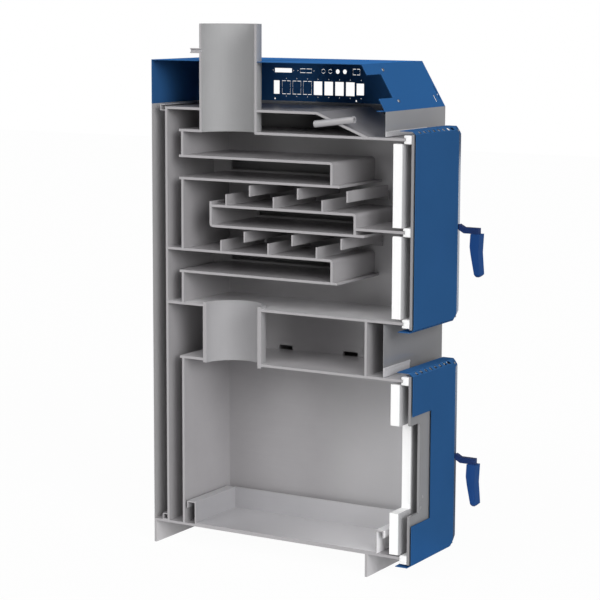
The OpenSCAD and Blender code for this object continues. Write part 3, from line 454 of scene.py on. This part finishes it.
@dataclass(frozen=True)
class FibreBoard(Finish):
    """Pressed ceramic-fibre board: chalk white, dry and matte, with short fibres and small pits.

    The side towards the door plate is painted grey, as painted shade.
    """

    relief: float = 0.35
    depth: float = 0.3
    shade_colour: str = "B4B4B6"
    shade_y: float = -314.0 * MM
    fibre_size: float = 4.1667
    fibre_stretch: Triple = (1.0, 1.0, 3.0)
    pit_size: float = 5.5556

    def make(self) -> Material:
        """Makes the board's material.

        Returns:
            The material.
        """
        material, tree, shader, coords = self.start()
        point = coords.outputs["Object"]
        fibres_at = add(tree, "Mapping", values={"Scale": self.fibre_stretch},
                        links={"Vector": point})
        fibres = add(tree, "TexNoise",
                     values={"Scale": cells(self.fibre_size), "Detail": 5.0, "Roughness": 0.7,
                             "Distortion": 0.6},
                     links={"Vector": fibres_at.outputs["Vector"]})
        pits = add(tree, "TexVoronoi", {"feature": "F1"}, {"Scale": cells(self.pit_size)},
                   {"Vector": point})
        pit = add(tree, "MapRange", values={"From Min": 0.0, "From Max": 0.22},
                  links={"Value": pits.outputs["Distance"]})
        height = add(tree, "Math", {"operation": "MULTIPLY"},
                     links={0: fibres.outputs["Fac"], 1: pit.outputs["Result"]})
        tone = add(tree, "MapRange", values={"From Max": 0.6, "To Min": 0.95, "To Max": 1.0},
                   links={"Value": height.outputs[0]})
        colour = add(tree, "VectorMath", {"operation": "SCALE"},
                     {0: linear(self.colour)[:3]}, {"Scale": tone.outputs["Result"]})
        # Painted shade: the side towards the door plate is grey
        where = add(tree, "SeparateXYZ", links={"Vector": point})
        in_shade = add(tree, "Math", {"operation": "LESS_THAN"}, {1: self.shade_y},
                     {0: where.outputs["Y"]})
        with_shade = add(tree, "Mix", {"data_type": "RGBA"}, {"B": linear(self.shade_colour)},
                    {"Factor": in_shade.outputs[0], "A": colour.outputs[0]})
        self.surface(tree, shader, with_shade.outputs["Result"], height.outputs[0])
        return material


@dataclass(frozen=True)
class MouldedGrip(Finish):
    """Injection-moulded glass-filled nylon: a fine spark-eroded grain of 0.6 mm and a soft sheen."""

    relief: float = 0.3
    depth: float = 0.08
    grain_size: float = 0.625
    drift_size: float = 40.0

    def make(self) -> Material:
        """Makes the grip's material.

        Returns:
            The material.
        """
        material, tree, shader, coords = self.start()
        point = coords.outputs["Object"]
        grain = add(tree, "TexVoronoi", {"feature": "SMOOTH_F1"}, {"Scale": cells(self.grain_size)},
                    {"Vector": point})
        drift = add(tree, "TexNoise", values={"Scale": cells(self.drift_size), "Detail": 2.0},
                    links={"Vector": point})
        tone = add(tree, "MapRange", values={"To Min": 0.94, "To Max": 1.06},
                   links={"Value": drift.outputs["Fac"]})
        colour = add(tree, "VectorMath", {"operation": "SCALE"},
                     {0: linear(self.colour)[:3]}, {"Scale": tone.outputs["Result"]})
        self.surface(tree, shader, colour.outputs[0], grain.outputs["Distance"])
        return material


@dataclass(frozen=True)
class ZincPlate(Finish):
    """Zinc on steel: bright, with a slight crystal mottle of 3 mm and fine marks left by the tool."""

    depth: float = 0.04
    crystal_size: float = 3.0303
    mark_size: float = 1.1111

    def make(self) -> Material:
        """Makes the zinc's material.

        Returns:
            The material.
        """
        material, tree, shader, coords = self.start()
        point = coords.outputs["Object"]
        crystal = add(tree, "TexVoronoi", {"feature": "F1"}, {"Scale": cells(self.crystal_size)},
                      {"Vector": point})
        tone = add(tree, "MapRange", values={"To Min": 0.92, "To Max": 1.05},
                   links={"Value": crystal.outputs["Color"]})
        colour = add(tree, "VectorMath", {"operation": "SCALE"},
                     {0: linear(self.colour)[:3]}, {"Scale": tone.outputs["Result"]})
        # The tool's marks are finer than this, and are drawn coarse so that they show
        marks = add(tree, "TexNoise", values={"Scale": cells(self.mark_size), "Detail": 2.0},
                    links={"Vector": point})
        self.surface(tree, shader, colour.outputs[0], marks.outputs["Fac"])
        return material


# Boiler plate as the mill delivers it: a grey rolled skin with a satin gleam
PLATE = RolledSteel("rolled_mild_steel_plate", "boiler_plate", "9C9A9C", roughness=0.24)
# The fire side's wall: the same plate, with painted light that pales it towards the doors
CHAMBER = LightPaintedSteel("light_painted_chamber_plate", "boiler_plate", "9C9A9C", roughness=0.24)
# The upper chamber's floor: plate painted paler, as painted light
LIT_FLOOR = RolledSteel("light_painted_floor_plate", "boiler_plate", "CFCED0", roughness=0.24)
# The feet: plate painted paler, as painted light
FOOT = RolledSteel("light_painted_foot_plate", "boiler_plate", "B6B4B6", roughness=0.24)
# The chamber's ceiling: plate painted paler, as painted light
LIT_CEILING = RolledSteel("light_painted_ceiling_plate", "boiler_plate", "BAB8BA", roughness=0.24)
# Drawn pipe: the smoothest of the steels, with its streaks upright
PIPE = RolledSteel("drawn_steel_pipe", "pipe_steel", "A6A5A8", roughness=0.2, specular=0.6, streak_axis=2)
# Flue and exhaust tube, rolled from plate: dull, so that they shade softly round
FLUE = RolledSteel("rolled_flue_steel", "flue_steel", "9E9E9F", roughness=0.6, specular=0.3, streak_axis=2)
TUBE = RolledSteel("rolled_tube_steel", "boiler_plate", "9E9D9F", roughness=0.6, specular=0.3, streak_axis=2)
# The doors' plates: a darker skin and a darker sawn edge than the boiler's, both painted shade
DOOR_PLATE = RolledSteel("shaded_door_plate", "door_plate", "8A8A8C", roughness=0.25, cut_colour="8C8B8D")
# Straps, lugs and latches, forged and left with their dark scale
BRACKET = RolledSteel("forged_bracket_steel", "bracket_steel", "6A6B6F", roughness=0.35)
# The jacket's outer wall: plate painted darker, as painted shade
JACKET = RolledSteel("shaded_jacket_plate", "boiler_plate", "868587", roughness=0.3, specular=0.4)
# The ash pan's sheet: grey at the rear, and painted light makes it nearly white at the front and on floors
PAN = LightPaintedSteel("light_painted_pan_sheet", "pan_steel", "9D9C9F", roughness=0.3, pale="F2F1F3",
                    pale_from=140.0 * MM, pale_to=-500.0 * MM, front_lit_y=-257.5 * MM, upward_light=0.17)
# The casing's grey coats: glossy in front, where they mirror the room, and satin at the rear
CASING = PowderCoat("grey_powder_coat", "casing_sheet", "98989A", roughness=0.12, specular=1.0)
# The middle panel's coat is painted darker, as painted shade
CASING_MIDDLE = PowderCoat("shaded_grey_powder_coat", "casing_sheet", "868688", roughness=0.12, specular=1.0)
# The rear panel's coat is painted paler, as painted light
CASING_REAR = PowderCoat("light_painted_grey_powder_coat", "casing_sheet", "A2A1A2", roughness=0.3)
# The blue coats: a metallic flake tints their sheen, and what looks up is painted paler as painted light
BLUE = PowderCoat("blue_powder_coat", "blue_paint", "305B8C", roughness=0.25, metallic=0.2, specular=0.0,
                  tint="5A90D0", top_light="3E70A8")
COVER_BLUE = PowderCoat("top_lit_blue_powder_coat", "blue_paint", "305B8C", roughness=0.25, metallic=0.2,
                        specular=0.0, tint="5A90D0", top_light="418BDC")
# The doors' far bevels, rubbed smooth by hands, so that they gleam along their length
POLISHED_BLUE = PowderCoat("rubbed_blue_powder_coat", "blue_paint", "305A8A", roughness=0.2, metallic=0.2)
# The levers' dark blue coat over bent bar
LEVER = PowderCoat("dark_blue_powder_coat", "lever_paint", "283A66", roughness=0.3, specular=0.3)
# The grips: blue right through, with the mould's fine grain
GRIP = MouldedGrip("moulded_blue_nylon", "grip", "1C4680", roughness=0.4, specular=0.4)
# Gaskets and boards: both nearly white and without any gleam
ROPE = BraidedRope("braided_glass_rope", "rope_gasket", "F6F6F6", roughness=0.9)
BOARD = FibreBoard("pressed_fibre_board", "insulation_board", "FAFAFA", roughness=0.95)
# Bolts, pins and screws
ZINC = ZincPlate("zinc_plated_steel", "fastener", "A4A5A8", roughness=0.35, metallic=0.8)
# The hem strips: pale and dull zinc, whose paleness is a painted reflection
HEM = ZincPlate("painted_reflection_hem_strip", "casing_sheet", "C2C1C4", roughness=0.4)


def dress(nodes: Nodes, finish: Finish, *names: str) -> None:
    """Gives CAD nodes a finish in every material slot they have.

    Args:
        nodes: the frame's CAD nodes by name.
        finish: the finish they get.
        names: the nodes' names.
    """
    for name in names:
        mesh = nodes[name].data
        if not mesh.materials:
            mesh.materials.append(finish.material())
        for index in range(len(mesh.materials)):
            mesh.materials[index] = finish.material()
        log.info("node %s: %s", name, finish.name)


def place(
    name: str, form: Form, finish: Finish, body: Body, replaces: Iterable[str] = (), smooth: bool = True
) -> bpy.types.Object:
    """Turns a finished bmesh into a piece that rides on a body.

    Args:
        name: the piece's name.
        form: the finished form, in metres, in the frame's own coordinates.
        finish: its finish.
        body: the body it moves with.
        replaces: the CAD nodes that it stands for.
        smooth: whether its faces are shaded smooth.

    Returns:
        The new object.
    """
    mesh = bpy.data.meshes.new(name)
    form.to_mesh(mesh)
    form.free()
    mesh.materials.append(finish.material())
    if smooth:
        mesh.shade_smooth()
    piece = bpy.data.objects.new(name, mesh)
    bpy.context.scene.collection.objects.link(piece)
    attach(piece, body.value)
    if replaces:
        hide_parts(*replaces)
    log.info("piece %s: %d faces, on %s", name, len(mesh.polygons), body.value)
    return piece


def softened(
    node: bpy.types.Object, width: float, segments: int, turn: float = 30.0, flat: float = 1.0
) -> Form:
    """Makes a merged copy of a CAD node with its sharp edges rounded.

    Args:
        node: the CAD node.
        width: the rounding's width in metres.
        segments: the number of faces across a rounding.
        turn: the least angle of an edge that is rounded, in degrees.
        flat: the greatest angle between faces that count as one flat face, in degrees.

    Returns:
        The rounded form.
    """
    form = bmesh.new()
    form.from_mesh(node.data)
    bmesh.ops.remove_doubles(form, verts=form.verts, dist=10.0 * TOUCH)
    bmesh.ops.dissolve_limit(form, angle_limit=math.radians(flat), verts=form.verts, edges=form.edges)
    bmesh.ops.recalc_face_normals(form, faces=form.faces)
    least = math.radians(turn)
    sharp = [edge for edge in form.edges if len(edge.link_faces) == 2 and edge.calc_face_angle(0.0) > least]
    bmesh.ops.bevel(form, geom=sharp, offset=width, offset_type="OFFSET", affect="EDGES", segments=segments,
                    profile=0.5, material=-1, clamp_overlap=True)
    return form


def block(low: Vector, high: Vector) -> Form:
    """Makes a solid block.

    Args:
        low: its lowest corner.
        high: its highest corner.

    Returns:
        The block's form.
    """
    form = bmesh.new()
    bmesh.ops.create_cube(form, size=1.0)
    bmesh.ops.scale(form, vec=high - low, verts=form.verts)
    bmesh.ops.translate(form, vec=(high + low) / 2, verts=form.verts)
    return form


def shave(form: Form, point: Vector, out: Vector) -> None:
    """Cuts off all of a solid form that lies past a plane, and closes it.

    Args:
        form: the form.
        point: a point of the plane.
        out: the plane's direction, towards what goes.
    """
    bmesh.ops.bisect_plane(form, geom=[*form.verts, *form.edges, *form.faces], dist=TOUCH,
                           plane_co=point, plane_no=out, clear_outer=True)
    bmesh.ops.holes_fill(form, edges=[e for e in form.edges if e.is_boundary], sides=0)


def carved(form: Form, tool: Form) -> Form:
    """Cuts a tool's solids out of a form.

    Args:
        form: the form, which is freed.
        tool: the tool, which is freed.

    Returns:
        What is left.
    """
    stand_ins = []
    for part in (form, tool):
        bmesh.ops.recalc_face_normals(part, faces=part.faces)
        mesh = bpy.data.meshes.new("carving")
        part.to_mesh(mesh)
        part.free()
        stand_ins.append(bpy.data.objects.new("carving", mesh))
        bpy.context.scene.collection.objects.link(stand_ins[-1])
    cut = stand_ins[0].modifiers.new("cut", "BOOLEAN")
    cut.operation = "DIFFERENCE"
    cut.solver = "EXACT"
    cut.object = stand_ins[1]
    shown = stand_ins[0].evaluated_get(bpy.context.evaluated_depsgraph_get())
    left = bmesh.new()
    left.from_mesh(shown.to_mesh())
    shown.to_mesh_clear()
    for stand_in in stand_ins:
        mesh = stand_in.data
        bpy.data.objects.remove(stand_in, do_unlink=True)
        bpy.data.meshes.remove(mesh)
    return left


# Sub-assemblies


@dataclass
class Door:
    """One swinging door: steel plate, pressed cover, rope gasket, fibre boards, lever and grip.

    The cover's sizes are in mm, and it is shaped in mm and then brought to metres. It is a tray of thin
    sheet, open at the back and at the cut face. Its face turns into the far side over a bevel, and into its
    top and bottom over narrow bevels with vents. Its far corners are round, with small facets. A window is
    given as its reach from the cut face, its foot and its top, and the vents as their step along the row
    and their share of the width.
    """

    nodes: Nodes
    level: str
    body: Body
    spindle: tuple[float, float]
    window: Triple | None = None
    rope_round: float = 3.5 * MM
    rope_faces: int = 4
    board_round: float = 1.2 * MM
    board_faces: int = 3
    board_turn: float = 60.0
    sheet: float = 1.5
    past: float = 20.0
    flat_x: float = 71.5
    side_bevel: float = 16.0
    edge_bevel: tuple[float, float] = (11.0, 8.0)
    corner: float = 30.0
    corner_turns: range = range(10, 90, 10)
    facet: Triple = (0.327, -0.835, 0.442)
    facet_x: float = 58.0
    flat_angle: float = 0.5
    polished_lean: float = 0.2
    upright_lean: float = 0.1
    vent_size: Triple = (10.5, 9.0, 9.0)
    vent_round: float = 2.0
    vent_first: float = 27.0
    vent_pitch: float = 24.0
    vents: tuple[tuple[float, float], ...] = (
        (0.0, 1.0), (1.0, 1.0), (2.0, 1.0), (3.0, 1.0), (4.0, 1.0), (5.0, 1.0), (6.0, 1.0), (6.85, 1.4))
    spindle_hole: float = 7.5
    spindle_tool: float = 90.0
    window_tool: tuple[float, float] = (200.0, 30.0)

    def cover_form(self, thin: float) -> Form:
        """Shapes the cover's outside, or the room inside it, which reaches past the cut and the open back.

        Args:
            thin: how far inside the outer faces the form lies, in mm.

        Returns:
            The closed form.
        """
        low, high = (Vector(corner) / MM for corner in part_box(f"{self.level}_door_cover"))
        past = self.past if thin else 0.0
        form = block(Vector((low.x - past, low.y + thin, low.z + thin)),
                     Vector((high.x - thin, high.y + past, high.z - thin)))
        in_y, in_z = self.edge_bevel
        planes = [(Vector((self.flat_x, low.y, 0.0)), Vector((self.side_bevel, self.flat_x - high.x, 0.0)))]
        for end, sign in ((high.z, 1.0), (low.z, -1.0)):
            fold = Vector((self.facet_x, low.y, end - sign * in_z))
            planes.append((fold, Vector((0.0, -in_z, sign * in_y))))
            planes.append((fold, Vector((self.facet[0], self.facet[1], sign * self.facet[2]))))
            middle = Vector((high.x - self.corner, low.y, end - sign * self.corner))
            for turn in self.corner_turns:
                out = Vector((math.cos(math.radians(turn)), 0.0, sign * math.sin(math.radians(turn))))
                planes.append((middle + out * self.corner, out))
        for point, out in planes:
            shave(form, point - out.normalized() * thin, out)
        bmesh.ops.scale(form, vec=(MM, MM, MM), verts=form.verts)
        return form

    def holes(self) -> Form:
        """Makes the tool for the cover's openings: vents in both bevels, the spindle's hole and any window.

        Returns:
            The tool's form.
        """
        low, high = (Vector(corner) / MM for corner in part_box(f"{self.level}_door_cover"))
        in_y, in_z = self.edge_bevel
        wide, tall, deep = self.vent_size
        tool = bmesh.new()
        for end, sign in ((high.z, 1.0), (low.z, -1.0)):
            lean = Matrix.Rotation(sign * math.atan2(in_z, in_y), 4, "X")
            for step, share in self.vents:
                spot = Matrix.Translation((low.x + self.vent_first + step * self.vent_pitch,
                                           low.y + in_y / 2, end - sign * in_z / 2))
                size = Matrix.Diagonal((wide * share, tall, deep, 1.0))
                made = bmesh.ops.create_cube(tool, size=1.0, matrix=spot @ lean @ size)
                # An edge is met from both its ends, and is listed once
                through = dict.fromkeys(edge for vert in made["verts"] for edge in vert.link_edges
                                        if math.isclose(edge.calc_length(), deep, abs_tol=0.01))
                bmesh.ops.bevel(tool, geom=list(through), offset=self.vent_round, affect="EDGES",
                                segments=3, profile=0.5, material=-1)
        spot = Matrix.Translation((self.spindle[0], low.y, self.spindle[1]))
        across = Matrix.Rotation(math.radians(90.0), 4, "X")
        bmesh.ops.create_cone(tool, cap_ends=True, segments=40, radius1=self.spindle_hole,
                              radius2=self.spindle_hole, depth=self.spindle_tool, matrix=spot @ across)
        if self.window:
            reach, foot, top = self.window
            wide, deep = self.window_tool
            spot = Matrix.Translation((low.x + reach - wide / 2, low.y, (foot + top) / 2))
            size = Matrix.Diagonal((wide, deep, top - foot, 1.0))
            bmesh.ops.create_cube(tool, size=1.0, matrix=spot @ size)
        bmesh.ops.scale(tool, vec=(MM, MM, MM), verts=tool.verts)
        return tool

    def press_cover(self) -> None:
        """Presses the cover's tray, punches its openings and gives its far bevel the rubbed coat."""
        tray = carved(carved(self.cover_form(0.0), self.cover_form(self.sheet)), self.holes())
        bmesh.ops.dissolve_limit(tray, angle_limit=math.radians(self.flat_angle), verts=tray.verts,
                                 edges=tray.edges)
        tray.normal_update()
        for face in tray.faces:
            upright = abs(face.normal.z) < self.upright_lean
            face.material_index = int(face.normal.x > self.polished_lean and upright)
        cover = place(f"{self.level}_pressed_cover", tray, BLUE, self.body, [f"{self.level}_door_cover"],
                      smooth=False)
        cover.data.materials.append(POLISHED_BLUE.material())

    def dress(self) -> None:
        """Gives the door's rigid nodes their finishes."""
        at = self.level
        dress(self.nodes, DOOR_PLATE, f"{at}_door_plate")
        dress(self.nodes, ZINC, f"{at}_door_bolts")
        dress(self.nodes, BRACKET, f"{at}_hinge_straps", f"{at}_latch_bracket", f"{at}_latch_tongue")
        dress(self.nodes, LEVER, f"{at}_lever")
        dress(self.nodes, GRIP, f"{at}_grip")

    def lay_rope(self) -> None:
        """Lays the braided rope in place of its CAD solid, with rounded edges."""
        form = softened(self.nodes[f"{self.level}_door_gasket"], self.rope_round, self.rope_faces)
        place(f"{self.level}_door_rope", form, ROPE, self.body, [f"{self.level}_door_gasket"])

    def set_boards(self) -> None:
        """Sets the fibre boards in place of their CAD solids, with slightly worn edges."""
        form = softened(self.nodes[f"{self.level}_door_insulation"], self.board_round, self.board_faces,
                        self.board_turn)
        place(f"{self.level}_door_boards", form, BOARD, self.body, [f"{self.level}_door_insulation"],
              smooth=False)

    def build(self) -> None:
        """Builds and dresses the whole door."""
        self.dress()
        self.press_cover()
        self.lay_rope()
        self.set_boards()


@dataclass
class Vessel:
    """The welded vessel with its sockets and hinge lugs, and the ash pan that lies in it."""

    nodes: Nodes
    plates: tuple[str, ...] = (
        "base_plate", "rear_outer_wall", "rear_inner_wall", "jacket_top_plate", "gas_top_plate",
        "upper_pocket_shell", "upper_pocket_floor", "middle_pocket_top", "middle_pocket_bottom",
        "divider_plate", "lower_pocket_shell", "lower_pocket_floor", "front_water_wall",
        "upper_turbulators", "lower_turbulators", "casing_spacers",
    )

    def build(self) -> None:
        """Dresses the vessel's nodes."""
        dress(self.nodes, PLATE, *self.plates)
        dress(self.nodes, TUBE, "exhaust_tube")
        dress(self.nodes, JACKET, "side_outer_wall")
        dress(self.nodes, CHAMBER, "side_inner_wall")
        dress(self.nodes, LIT_FLOOR, "upper_chamber_floor")
        dress(self.nodes, FOOT, "rear_foot", "front_foot")
        dress(self.nodes, LIT_CEILING, "combustion_ceiling")
        dress(self.nodes, FLUE, "flue_pipe")
        dress(self.nodes, PIPE, "flue_sensor_sleeve", "thermowell", "flow_socket", "return_socket",
              "drain_socket")
        dress(self.nodes, BRACKET, "hinge_lugs", "latch_keepers")
        dress(self.nodes, ZINC, "hinge_pins")
        dress(self.nodes, PAN, "ash_pan")


@dataclass
class Casing:
    """The sheet casing with the folded control cover on top.

    Each hem has its name, its foot above the floor, its height and its reach from the cut face, in mm. A
    hem's outline is in mm outwards and in shares of its height, and a screw's is its radius and height in mm.
    """

    nodes: Nodes
    cut: float = -146.5 * MM
    front: float = -271.23 * MM
    hems: tuple[tuple[str, float, float, float], ...] = (
        ("top_panel_hem", 1033.7, 12.0, 200.0), ("middle_panel_hem", 480.4, 22.0, 129.0))
    hem_outline: tuple[tuple[float, float], ...] = (
        (0.0, 0.0), (-1.2, 0.0), (-1.2, 0.74), (-2.4, 0.8), (-2.8, 0.9), (-2.4, 1.0), (0.0, 1.0))
    screw_seats: tuple[Triple, ...] = ((-62.5, -216.38, 1180.59), (-62.5, -258.10, 1110.40))
    screw_tilt: float = 30.72
    screw_steps: int = 28
    screw_outline: tuple[tuple[float, float], ...] = (
        (0.0, -4.0), (1.9, -4.0), (1.9, 0.0), (4.2, 0.0), (4.2, 1.2), (4.0, 1.8), (3.5, 2.25), (2.8, 2.4),
        (1.7, 2.4), (1.5, 1.0), (0.0, 0.9))

    def lay_hem(self, name: str, foot: float, height: float, reach: float) -> None:
        """Lays a pale hem strip, a painted reflection, with a rolled upper edge along a front panel's foot.

        Args:
            name: the strip's name.
            foot: the panel's foot above the floor, in mm.
            height: the strip's height in mm.
            reach: its reach from the cut face in mm.
        """
        form = bmesh.new()
        ring = [form.verts.new((self.cut, self.front + out * MM, (foot + share * height) * MM))
                for out, share in self.hem_outline]
        end = form.faces.new(ring)
        drawn = bmesh.ops.extrude_face_region(form, geom=[end])
        moved = [item for item in drawn["geom"] if isinstance(item, bmesh.types.BMVert)]
        bmesh.ops.translate(form, verts=moved, vec=(reach * MM, 0.0, 0.0))
        bmesh.ops.recalc_face_normals(form, faces=form.faces)
        place(name, form, HEM, Body.BOILER, smooth=False)

    def drive_screws(self) -> None:
        """Drives the display's two pan-head screws into the cover's slope."""
        turn = Matrix.Rotation(math.radians(90.0 - self.screw_tilt), 4, "X")
        for number, seat in enumerate(self.screw_seats, 1):
            form = bmesh.new()
            outline = [form.verts.new((out * MM, 0.0, up * MM)) for out, up in self.screw_outline]
            edges = [form.edges.new(pair) for pair in zip(outline, outline[1:])]
            bmesh.ops.spin(form, geom=outline + edges, cent=(0.0, 0.0, 0.0), axis=(0.0, 0.0, 1.0),
                           angle=2.0 * math.pi, steps=self.screw_steps, use_merge=True)
            bmesh.ops.remove_doubles(form, verts=form.verts, dist=TOUCH)
            bmesh.ops.recalc_face_normals(form, faces=form.faces)
            seated = Matrix.Translation(Vector(seat) * MM) @ turn
            bmesh.ops.transform(form, matrix=seated, verts=form.verts)
            place(f"display_screw_{number}", form, ZINC, Body.BOILER, smooth=False)

    def build(self) -> None:
        """Dresses the casing's nodes and fits its small parts."""
        dress(self.nodes, CASING, "casing_side", "casing_front_top")
        dress(self.nodes, CASING_MIDDLE, "casing_front_middle")
        dress(self.nodes, CASING_REAR, "casing_rear")
        dress(self.nodes, COVER_BLUE, "control_cover")
        dress(self.nodes, ZINC, "rear_panel_screws")
        for hem in self.hems:
            self.lay_hem(*hem)
        self.drive_screws()


@dataclass(frozen=True)
class Lamp:
    """A soft sun lamp: its name, its light's direction, its strength and the angle it fills in degrees."""

    name: str
    towards: Triple
    strength: float
    spread: float = 30.0

    def hang(self) -> None:
        """Hangs the lamp."""
        data = bpy.data.lights.new(self.name, "SUN")
        data.energy = self.strength
        data.angle = math.radians(self.spread)
        lamp = bpy.data.objects.new(self.name, data)
        lamp.matrix_world = Vector(self.towards).to_track_quat("-Z", "Y").to_matrix().to_4x4()
        bpy.context.scene.collection.objects.link(lamp)


@dataclass
class Studio:
    """A white studio with soft light, seen from the photograph's place.

    The room is white but for one open side, which gloss shows as a dark shade. Each shade is given by the
    cosines towards that side at which it begins and at which it is full.
    """

    lens: float = 120.42
    sensor: float = 36.0
    sight: float = 60.0
    stand: Triple = (-4.1572, -2.41253, 1.3447)
    right: Triple = (0.50840968, -0.86110617, 0.00397046)
    up: Triple = (0.12632859, 0.07914561, 0.9888261)
    back: Triple = (-0.8517985, -0.50222718, 0.14902072)
    sky: float = 0.1
    room_side: Triple = (0.86, -0.51, 0.0)
    room: float = 0.1
    wall_shade: tuple[float, float] = (-0.1, 0.6)
    floor_shade: tuple[float, float] = (0.68, 0.92)
    floor_reach: float = 12.0
    floor_colour: str = "F6F6F6"
    floor_rough: float = 0.9
    floor_white: float = 0.97
    lamps: tuple[Lamp, ...] = (
        Lamp("side_lamp", (0.6, 0.75, -0.2), 0.85),
        Lamp("front_lamp", (0.45, 0.85, -0.35), 1.4),
        Lamp("high_lamp", (0.5, 0.3, -0.8), 0.72),
        Lamp("back_lamp", (0.8, -0.35, -0.5), 0.95),
    )

    def set_camera(self) -> None:
        """Sets the camera at the photograph's viewpoint."""
        data = bpy.data.cameras.new("photo_camera")
        data.lens = self.lens
        data.sensor_width = self.sensor
        data.clip_end = self.sight
        camera = bpy.data.objects.new("photo_camera", data)
        turn = Matrix((self.right, self.up, self.back)).transposed().to_4x4()
        camera.matrix_world = Matrix.Translation(self.stand) @ turn
        bpy.context.scene.collection.objects.link(camera)
        bpy.context.scene.camera = camera

    @staticmethod
    def plain_sight(tree: Tree) -> tuple[Socket, Socket]:
        """Adds the switches that tell what a ray is.

        Args:
            tree: the node tree.

        Returns:
            A switch that is 1 for rays from the camera and through glass, and one for rays from gloss.
        """
        rays = add(tree, "LightPath")
        direct = add(tree, "Math", {"operation": "MAXIMUM"},
                     links={0: rays.outputs["Is Camera Ray"], 1: rays.outputs["Is Transmission Ray"]})
        return direct.outputs[0], rays.outputs["Is Glossy Ray"]

    def room_shade(self, tree: Tree, towards: Socket, reach: tuple[float, float]) -> Socket:
        """Adds the surround's shade in gloss: white like the backdrop, and dark on the room's open side.

        Args:
            tree: the node tree.
            towards: the direction, or the place on the floor, that the gloss shows.
            reach: the cosines at which the shade begins and is full.

        Returns:
            The brightness there.
        """
        near, full = reach
        unit = add(tree, "VectorMath", {"operation": "NORMALIZE"}, links={0: towards})
        share = add(tree, "VectorMath", {"operation": "DOT_PRODUCT"}, {1: self.room_side},
                    {0: unit.outputs["Vector"]})
        shade = add(tree, "MapRange", {"interpolation_type": "SMOOTHSTEP"},
                    {"From Min": near, "From Max": full, "To Min": 1.0, "To Max": self.room},
                    {"Value": share.outputs["Value"]})
        return shade.outputs["Result"]

    def set_world(self) -> None:
        """Sets a white surround that lights the object softly."""
        world = bpy.data.worlds.new("white_surround")
        bpy.context.scene.world = world
        world.use_nodes = True
        tree = world.node_tree
        direct, gloss = self.plain_sight(tree)
        around = add(tree, "TexCoord")
        unseen = add(tree, "Mix", {"data_type": "FLOAT"}, {"A": self.sky},
                     {"Factor": gloss,
                      "B": self.room_shade(tree, around.outputs["Generated"], self.wall_shade)})
        strength = add(tree, "Mix", {"data_type": "FLOAT"}, {"B": 1.0},
                       {"Factor": direct, "A": unseen.outputs["Result"]})
        ground = tree.nodes["Background"]
        ground.inputs["Color"].default_value = (1.0, 1.0, 1.0, 1.0)
        tree.links.new(strength.outputs["Result"], ground.inputs["Strength"])

    def set_floor(self) -> None:
        """Lays a pale floor that keeps a faint shadow of the object."""
        form = bmesh.new()
        bmesh.ops.create_grid(form, x_segments=2, y_segments=2, size=self.floor_reach)
        mesh = bpy.data.meshes.new("pale_floor")
        form.to_mesh(mesh)
        form.free()
        material = bpy.data.materials.new("pale_studio_floor")
        material.use_nodes = True
        tree = material.node_tree
        shader = tree.nodes["Principled BSDF"]
        shader.inputs["Base Color"].default_value = linear(self.floor_colour)
        shader.inputs["Roughness"].default_value = self.floor_rough
        shader.inputs["Specular IOR Level"].default_value = 0.0
        direct, gloss = self.plain_sight(tree)
        spot = add(tree, "TexCoord")
        bright = add(tree, "Mix", {"data_type": "FLOAT"}, {"A": 1.0},
                     {"Factor": gloss,
                      "B": self.room_shade(tree, spot.outputs["Object"], self.floor_shade)})
        white = add(tree, "Emission", values={"Color": (1.0, 1.0, 1.0, 1.0)},
                    links={"Strength": bright.outputs["Result"]})
        shown = add(tree, "Math", {"operation": "MAXIMUM"}, links={0: direct, 1: gloss})
        share = add(tree, "Math", {"operation": "MULTIPLY"}, {1: self.floor_white},
                    {0: shown.outputs[0]})
        mixed = add(tree, "MixShader",
                    links={0: share.outputs[0], 1: shader.outputs[0], 2: white.outputs[0]})
        tree.links.new(mixed.outputs[0], tree.nodes["Material Output"].inputs["Surface"])
        mesh.materials.append(material)
        floor = bpy.data.objects.new("pale_floor", mesh)
        bpy.context.scene.collection.objects.link(floor)

    def build(self) -> None:
        """Sets camera, surround, floor, lamps and view transform."""
        self.set_camera()
        self.set_world()
        self.set_floor()
        for lamp in self.lamps:
            lamp.hang()
        bpy.context.scene.view_settings.view_transform = "Standard"


def main() -> None:
    """Builds the scene's parts in order."""
    logging.basicConfig(level=logging.INFO, format="%(name)s: %(message)s")
    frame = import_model()
    nodes = frame["nodes"]
    Studio().build()
    Vessel(nodes).build()
    Casing(nodes).build()
    Door(nodes, "upper", Body.UPPER_DOOR, spindle=(81.5, 812.35)).build()
    Door(nodes, "lower", Body.LOWER_DOOR, spindle=(81.5, 260.05), window=(94.0, 137.5, 395.6)).build()


if __name__ == "__main__":
    main()
